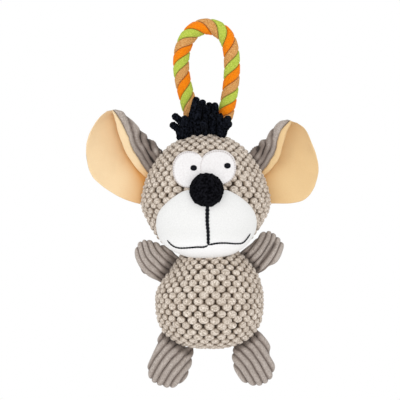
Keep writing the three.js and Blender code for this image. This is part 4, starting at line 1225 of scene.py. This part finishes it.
strip_top = EAR["lining"] + EAR["gap"] + EAR["back"]
for ear in ears:
    root = root_line(HEAD, ear["sign"], *ear["root"], EAR["root_gap"])

    def lining_top(q):
        return EAR["lining"] + (strip_top + 0.2 - EAR["lining"]) * smoothstep(-q, -0.4, 0.9)

    def back_top(q):
        return strip_top + 0 * q

    lining_bm = ear_cloth(ear, root, 0.0, lining_top, False)
    _, share, _, _, from_fold = facts_of(lining_bm)
    places = spots(lining_bm)
    ripple = 0.35 * lumps(places, 26, 8) + 0.12 * lumps(places, 9, 9)
    ripple = ripple * smoothstep(share, 0.1, 0.3) * smoothstep(share, 1, 0.85)
    move(lining_bm, places + outward(lining_bm) * ripple[:, None])
    # Painted shade: the lining darkens beside the free edge of the fold, which shades it, and at the root, where the
    # head does.
    crease_shade = ear["crease_shade"] * np.exp(-from_fold / CREASE_SHADE_WIDTH) * smoothstep(share, 1, 0.9) \
        * (0.65 + 0.35 * smoothstep(share, 0.6, 0.2))
    crease_shade += 0.85 * ear["crease_shade"] * smoothstep(share, 0.27, 0.0)
    lining = finished(f"ear_canvas_{ear['side']}", lining_bm, ear["canvas"])
    mark(lining, "crease_shade", np.clip(crease_shade, 0, 1))
    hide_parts(f"ear_lining_{ear['side']}")

    back_bm = ear_cloth(ear, root, EAR["lining"] + EAR["gap"] * 0.6, back_top, True)
    q, share, side, from_rim, _ = facts_of(back_bm)
    places = spots(back_bm)
    ridge = wales(q + 0.5 * lumps(places, 24, 53))
    near_head = smoothstep(share, 0.0, 0.12)
    rise = np.where(side > 0, WALE_HEIGHT * (ridge - 0.5) * near_head * smoothstep(from_rim, 1, 9), 0)
    pucker = smoothstep(q, 4, 13) * smoothstep(share, 0.7, 0.25) * (side > 0) * (from_rim > 9)
    crumple = pucker * lumps(places, PUCKER["size"], 31)
    rise = rise * smoothstep(share, 1, 0.85) + PUCKER["height"] * crumple
    move(back_bm, places + outward(back_bm) * rise[:, None])
    # Painted shade: the back is painted darker toward the head, darker again where it puckers near the head, lighter
    # on the crumples' bumps and darker in their dips; the wales' grooves get painted shade too.
    shade = 0.55 + 0.29 * smoothstep(share, 0.05, 0.7)
    nap = 0.85 + (ridge * shade - 0.85) * smoothstep(from_rim, 1.5, 5) - 0.2 * pucker + 0.25 * crumple
    back = finished(f"ear_corduroy_{ear['side']}", back_bm, corduroy, np.where(side > 0, nap, 0.85).clip(0, 1))
    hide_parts(f"ear_back_{ear['side']}")
    for layer in (lining, back):
        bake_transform(layer, "head", f"ear_{ear['side']}", start=from_hinge(root, 0), end=from_hinge(root, EAR_BEND))

# %% [markdown]
# ## Paws
# Arms and legs are flat stuffed paddles of wide corduroy. Each is a pad with the outline of the real one, and
# ridges raised across it in the direction that the cloth was cut. The ridges bend a little, as stuffed cloth does.

# %% Paws
LIMB = {"edge": 1.2, "root_gap": 0.65, "steepest": 1.5}
WALE_SUNK = 0.85
FOLD = {"width": 1.7, "depth": 0.8, "shade": 0.7}
paws = [
    {"name": "arm_left", "sign": -1, "length": 32.4, "width": 32, "half_depth": 9.5, "root": (0.78, 0.34),
     "grain": 128, "shift": 0.2, "bow": 0.012, "wale": WALE, "turn_shade": 1.0, "bend": 9, "tuck": 10,
     "shares": [(0.22, 0.5), (0.54, 0.44), (0.74, 0.39), (0.92, 0.3), (1.01, 0.15), (1, -0.04), (0.91, -0.2),
                (0.77, -0.35), (0.6, -0.46), (0.42, -0.52), (0.22, -0.49)]},
    {"name": "arm_right", "sign": 1, "length": 35.6, "width": 28.6, "half_depth": 9.5, "root": (0.82, 0.44),
     "grain": 55, "shift": 0.0, "bow": -0.01, "wale": WALE, "turn_shade": 0.95, "bend": 16, "tuck": ROOT_TUCK,
     "fold": ((45.0, -211.0), (61.0, -188.0)),
     "shares": [(0.33, 0.45), (0.52, 0.5), (0.73, 0.51), (0.89, 0.39), (0.95, 0.2), (0.97, -0.1), (0.945, -0.22),
                (0.79, -0.39), (0.57, -0.5), (0.34, -0.46), (0.18, -0.47)]},
    {"name": "leg_left", "sign": -1, "length": 42, "width": 40.6, "half_depth": 10.5, "root": (-0.65, -0.95),
     "grain": 50, "shift": 0.1, "bow": 0.006, "wale": 6.4, "turn_shade": 0.84, "bend": 9, "tuck": ROOT_TUCK,
     "shares": [(0.18, 0.3), (0.32, 0.24), (0.54, 0.2), (0.8, 0.15), (0.9, 0.06), (0.98, -0.04), (1, -0.2),
                (0.97, -0.35), (0.9, -0.53), (0.76, -0.65), (0.62, -0.695), (0.46, -0.7), (0.31, -0.66),
                (0.18, -0.61), (0.05, -0.55), (-0.08, -0.46)]},
    {"name": "leg_right", "sign": 1, "length": 42.8, "width": 38.4, "half_depth": 10.5, "root": (-0.62, -0.95),
     "grain": 128, "shift": 0.4, "bow": -0.006, "wale": 6.4, "turn_shade": 0.87, "bend": 9, "tuck": ROOT_TUCK,
     "shares": [(0.16, 0.39), (0.4, 0.37), (0.52, 0.29), (0.74, 0.24), (0.89, 0.12), (0.99, -0.05), (1, -0.24),
                (0.94, -0.42), (0.82, -0.55), (0.7, -0.63), (0.52, -0.64), (0.35, -0.615), (0.22, -0.55),
                (0.09, -0.46)]},
]


def sunk_fold(fold, seen):
    """1 along the middle of a fold between two places, and 0 away from it."""
    first, last = [np.array(end) for end in fold]
    share = np.clip((seen - first) @ (last - first) / ((last - first) @ (last - first)), 0, 1)
    return bell(np.linalg.norm(seen - first - share[:, None] * (last - first), axis=1), FOLD["width"])


for paw in paws:
    root = root_line(TORSO, paw["sign"], *paw["root"], LIMB["root_gap"])
    corners = corners_from(root, root["points"][0], paw["shares"], paw["length"], paw["width"])
    free = smooth_line(corners + [root["points"][-1]], 200)
    tucked = smooth_line(root["points"][::-1], 60)[1:] - root["out"] * paw["tuck"]
    edge = np.vstack([free, tucked])
    edge = sampled(edge, np.linspace(0, 1, len(edge)), np.linspace(0, 1, 361))
    middle = edge[:-1].mean(axis=0)

    def paw_place(turn, share, front, root=root, middle=middle, outline=round_outline(edge), paw=paw):
        flat = middle + (outline(turn) - middle) * share[:, None]
        swell = LIMB["edge"] + (paw["half_depth"] - LIMB["edge"]) * domed(share, 2.2)
        out = (flat - root["hinge"]) @ root["out"]
        depth = np.minimum(swell, LIMB["edge"] + LIMB["steepest"] * np.maximum(0, out + paw["tuck"] / 2))
        return np.stack([flat[:, 0], np.where(front, -depth, depth), flat[:, 1]], axis=1)

    bm = pad(180, 81, paw_place)
    places = spots(bm)
    seen = places[:, [0, 2]]
    grain = math.radians(paw["grain"])
    along = (seen - middle) @ [math.cos(grain), math.sin(grain)]
    beside = (seen - middle) @ [-math.sin(grain), math.cos(grain)] + paw["bow"] * along ** 2
    beside = beside + 0.45 * lumps(places, 26, 51) + 0.25 * lumps(places, 11, 52)
    ridge = wales(beside + paw["shift"] * WALE, paw["wale"])
    # Painted shade: each limb is painted darker by its own factor, as it turns from the light, and darker toward its
    # root, where it meets the body.
    shade = paw["turn_shade"] * (0.6 + 0.4 * smoothstep((seen - root["hinge"]) @ root["out"], -1, 7))
    sunk = sunk_fold(paw["fold"], seen) if "fold" in paw else np.zeros(len(places))
    rise = WALE_HEIGHT * (ridge * (1 - sunk) - WALE_SUNK) - FOLD["depth"] * sunk
    move(bm, places + outward(bm) * rise[:, None])
    # Painted shade: the nap, and with it the colour, drops in the grooves between the wales and in the sunk fold.
    limb = finished(f"{paw['name']}_corduroy", bm, corduroy, ridge * shade * (1 - FOLD["shade"] * sunk))
    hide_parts(paw["name"])
    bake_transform(limb, "torso", paw["name"], start=from_hinge(root, 0), end=from_hinge(root, paw["bend"]))

# %% [markdown]
# ## Squeaker
# The bulb and reed inside the body are hard plastic. The frame's own solids have the right shape, so they only
# get their finish.

# %% Squeaker
for name in ("squeaker_bulb", "squeaker_reed"):
    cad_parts[name].data.materials.clear()
    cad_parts[name].data.materials.append(squeaker_plastic)

# %% [markdown]
# ## Studio
# The toy hangs in front of plain white under soft light. The world is white where the camera or a reflection sees
# it and dimmer as a light, so the ground stays white while the pile keeps its shading. Two soft lamps, one from
# the upper left and one from below, shape the forms. The floor is a little below the feet. It glows: enough to look
# white to the camera, and a little for every other ray, so that it also lights the toy from below like a lamp.

# %% Studio: world and lamps
AMBIENT = 0.93
WHITE = (1, 1, 1, 1)
world = bpy.data.worlds.new("studio")
scene.world = world
world.use_nodes = True
world.node_tree.nodes.clear()


class Sky(Finish):
    """The world's node tree, used like a material's."""

    def __init__(self, tree):
        self.tree = tree


sky = Sky(world.node_tree)
seen_white = sky.node("ShaderNodeBackground", sockets={"Color": WHITE, "Strength": 1.0})
lit_white = sky.node("ShaderNodeBackground", sockets={"Color": WHITE, "Strength": AMBIENT})
direct = sky.node("ShaderNodeLightPath", output="Is Camera Ray")
for kind in ("Is Glossy Ray", "Is Transmission Ray"):
    direct = direct.math("MAXIMUM", sky.node("ShaderNodeLightPath", output=kind))
ground = sky.node("ShaderNodeMixShader", sockets={0: direct, 1: lit_white, 2: seen_white})
sky.node("ShaderNodeOutputWorld", sockets={"Surface": ground})


TOY_MIDDLE = (0, 0, -0.16)


def lamp(name, place, size, power):
    """A square lamp that faces the toy's middle."""
    data = bpy.data.lights.new(name, "AREA")
    data.size = size
    data.energy = power
    obj = bpy.data.objects.new(name, data)
    scene.collection.objects.link(obj)
    obj.location = place
    obj.rotation_mode = "QUATERNION"
    toward = Vector([middle - own for middle, own in zip(TOY_MIDDLE, place)])
    obj.rotation_quaternion = toward.to_track_quat("-Z", "Y")


lamp("key", (-1.0, -1.5, 0.35), 0.5, 3)
lamp("fill", (0.3, -1.5, -0.36), 0.6, 5)

# %% Studio: floor
FLOOR = -0.405
floor_bm = bmesh.new()
bmesh.ops.create_grid(floor_bm, x_segments=1, y_segments=1, size=1)
bmesh.ops.translate(floor_bm, verts=floor_bm.verts, vec=(0, 0, FLOOR))
floor_mesh = bpy.data.meshes.new("floor")
floor_bm.to_mesh(floor_mesh)
floor_bm.free()
floor = bpy.data.objects.new("floor", floor_mesh)
scene.collection.objects.link(floor)
floor_paper = Finish("floor_paper", 0.9, Base_Color=(0.93, 0.93, 0.93, 1), Specular_IOR_Level=0.0)
# Painted light: the floor glows, more for the camera and a quarter share for all other rays, lighting the undersides.
glow = floor_paper.node("ShaderNodeEmission", sockets={"Color": WHITE, "Strength": 1.3})
glow_share = floor_paper.node("ShaderNodeLightPath", output="Is Camera Ray") * 0.35 + 0.25
paper = Signal(floor_paper, floor_paper.surface.outputs[0])
both = floor_paper.node("ShaderNodeMixShader", sockets={0: glow_share, 1: paper, 2: glow})
floor_paper.feed(floor_paper.tree.nodes["Material Output"].inputs["Surface"], both)
floor_mesh.materials.append(floor_paper.material)
scene.view_settings.view_transform = "Standard"
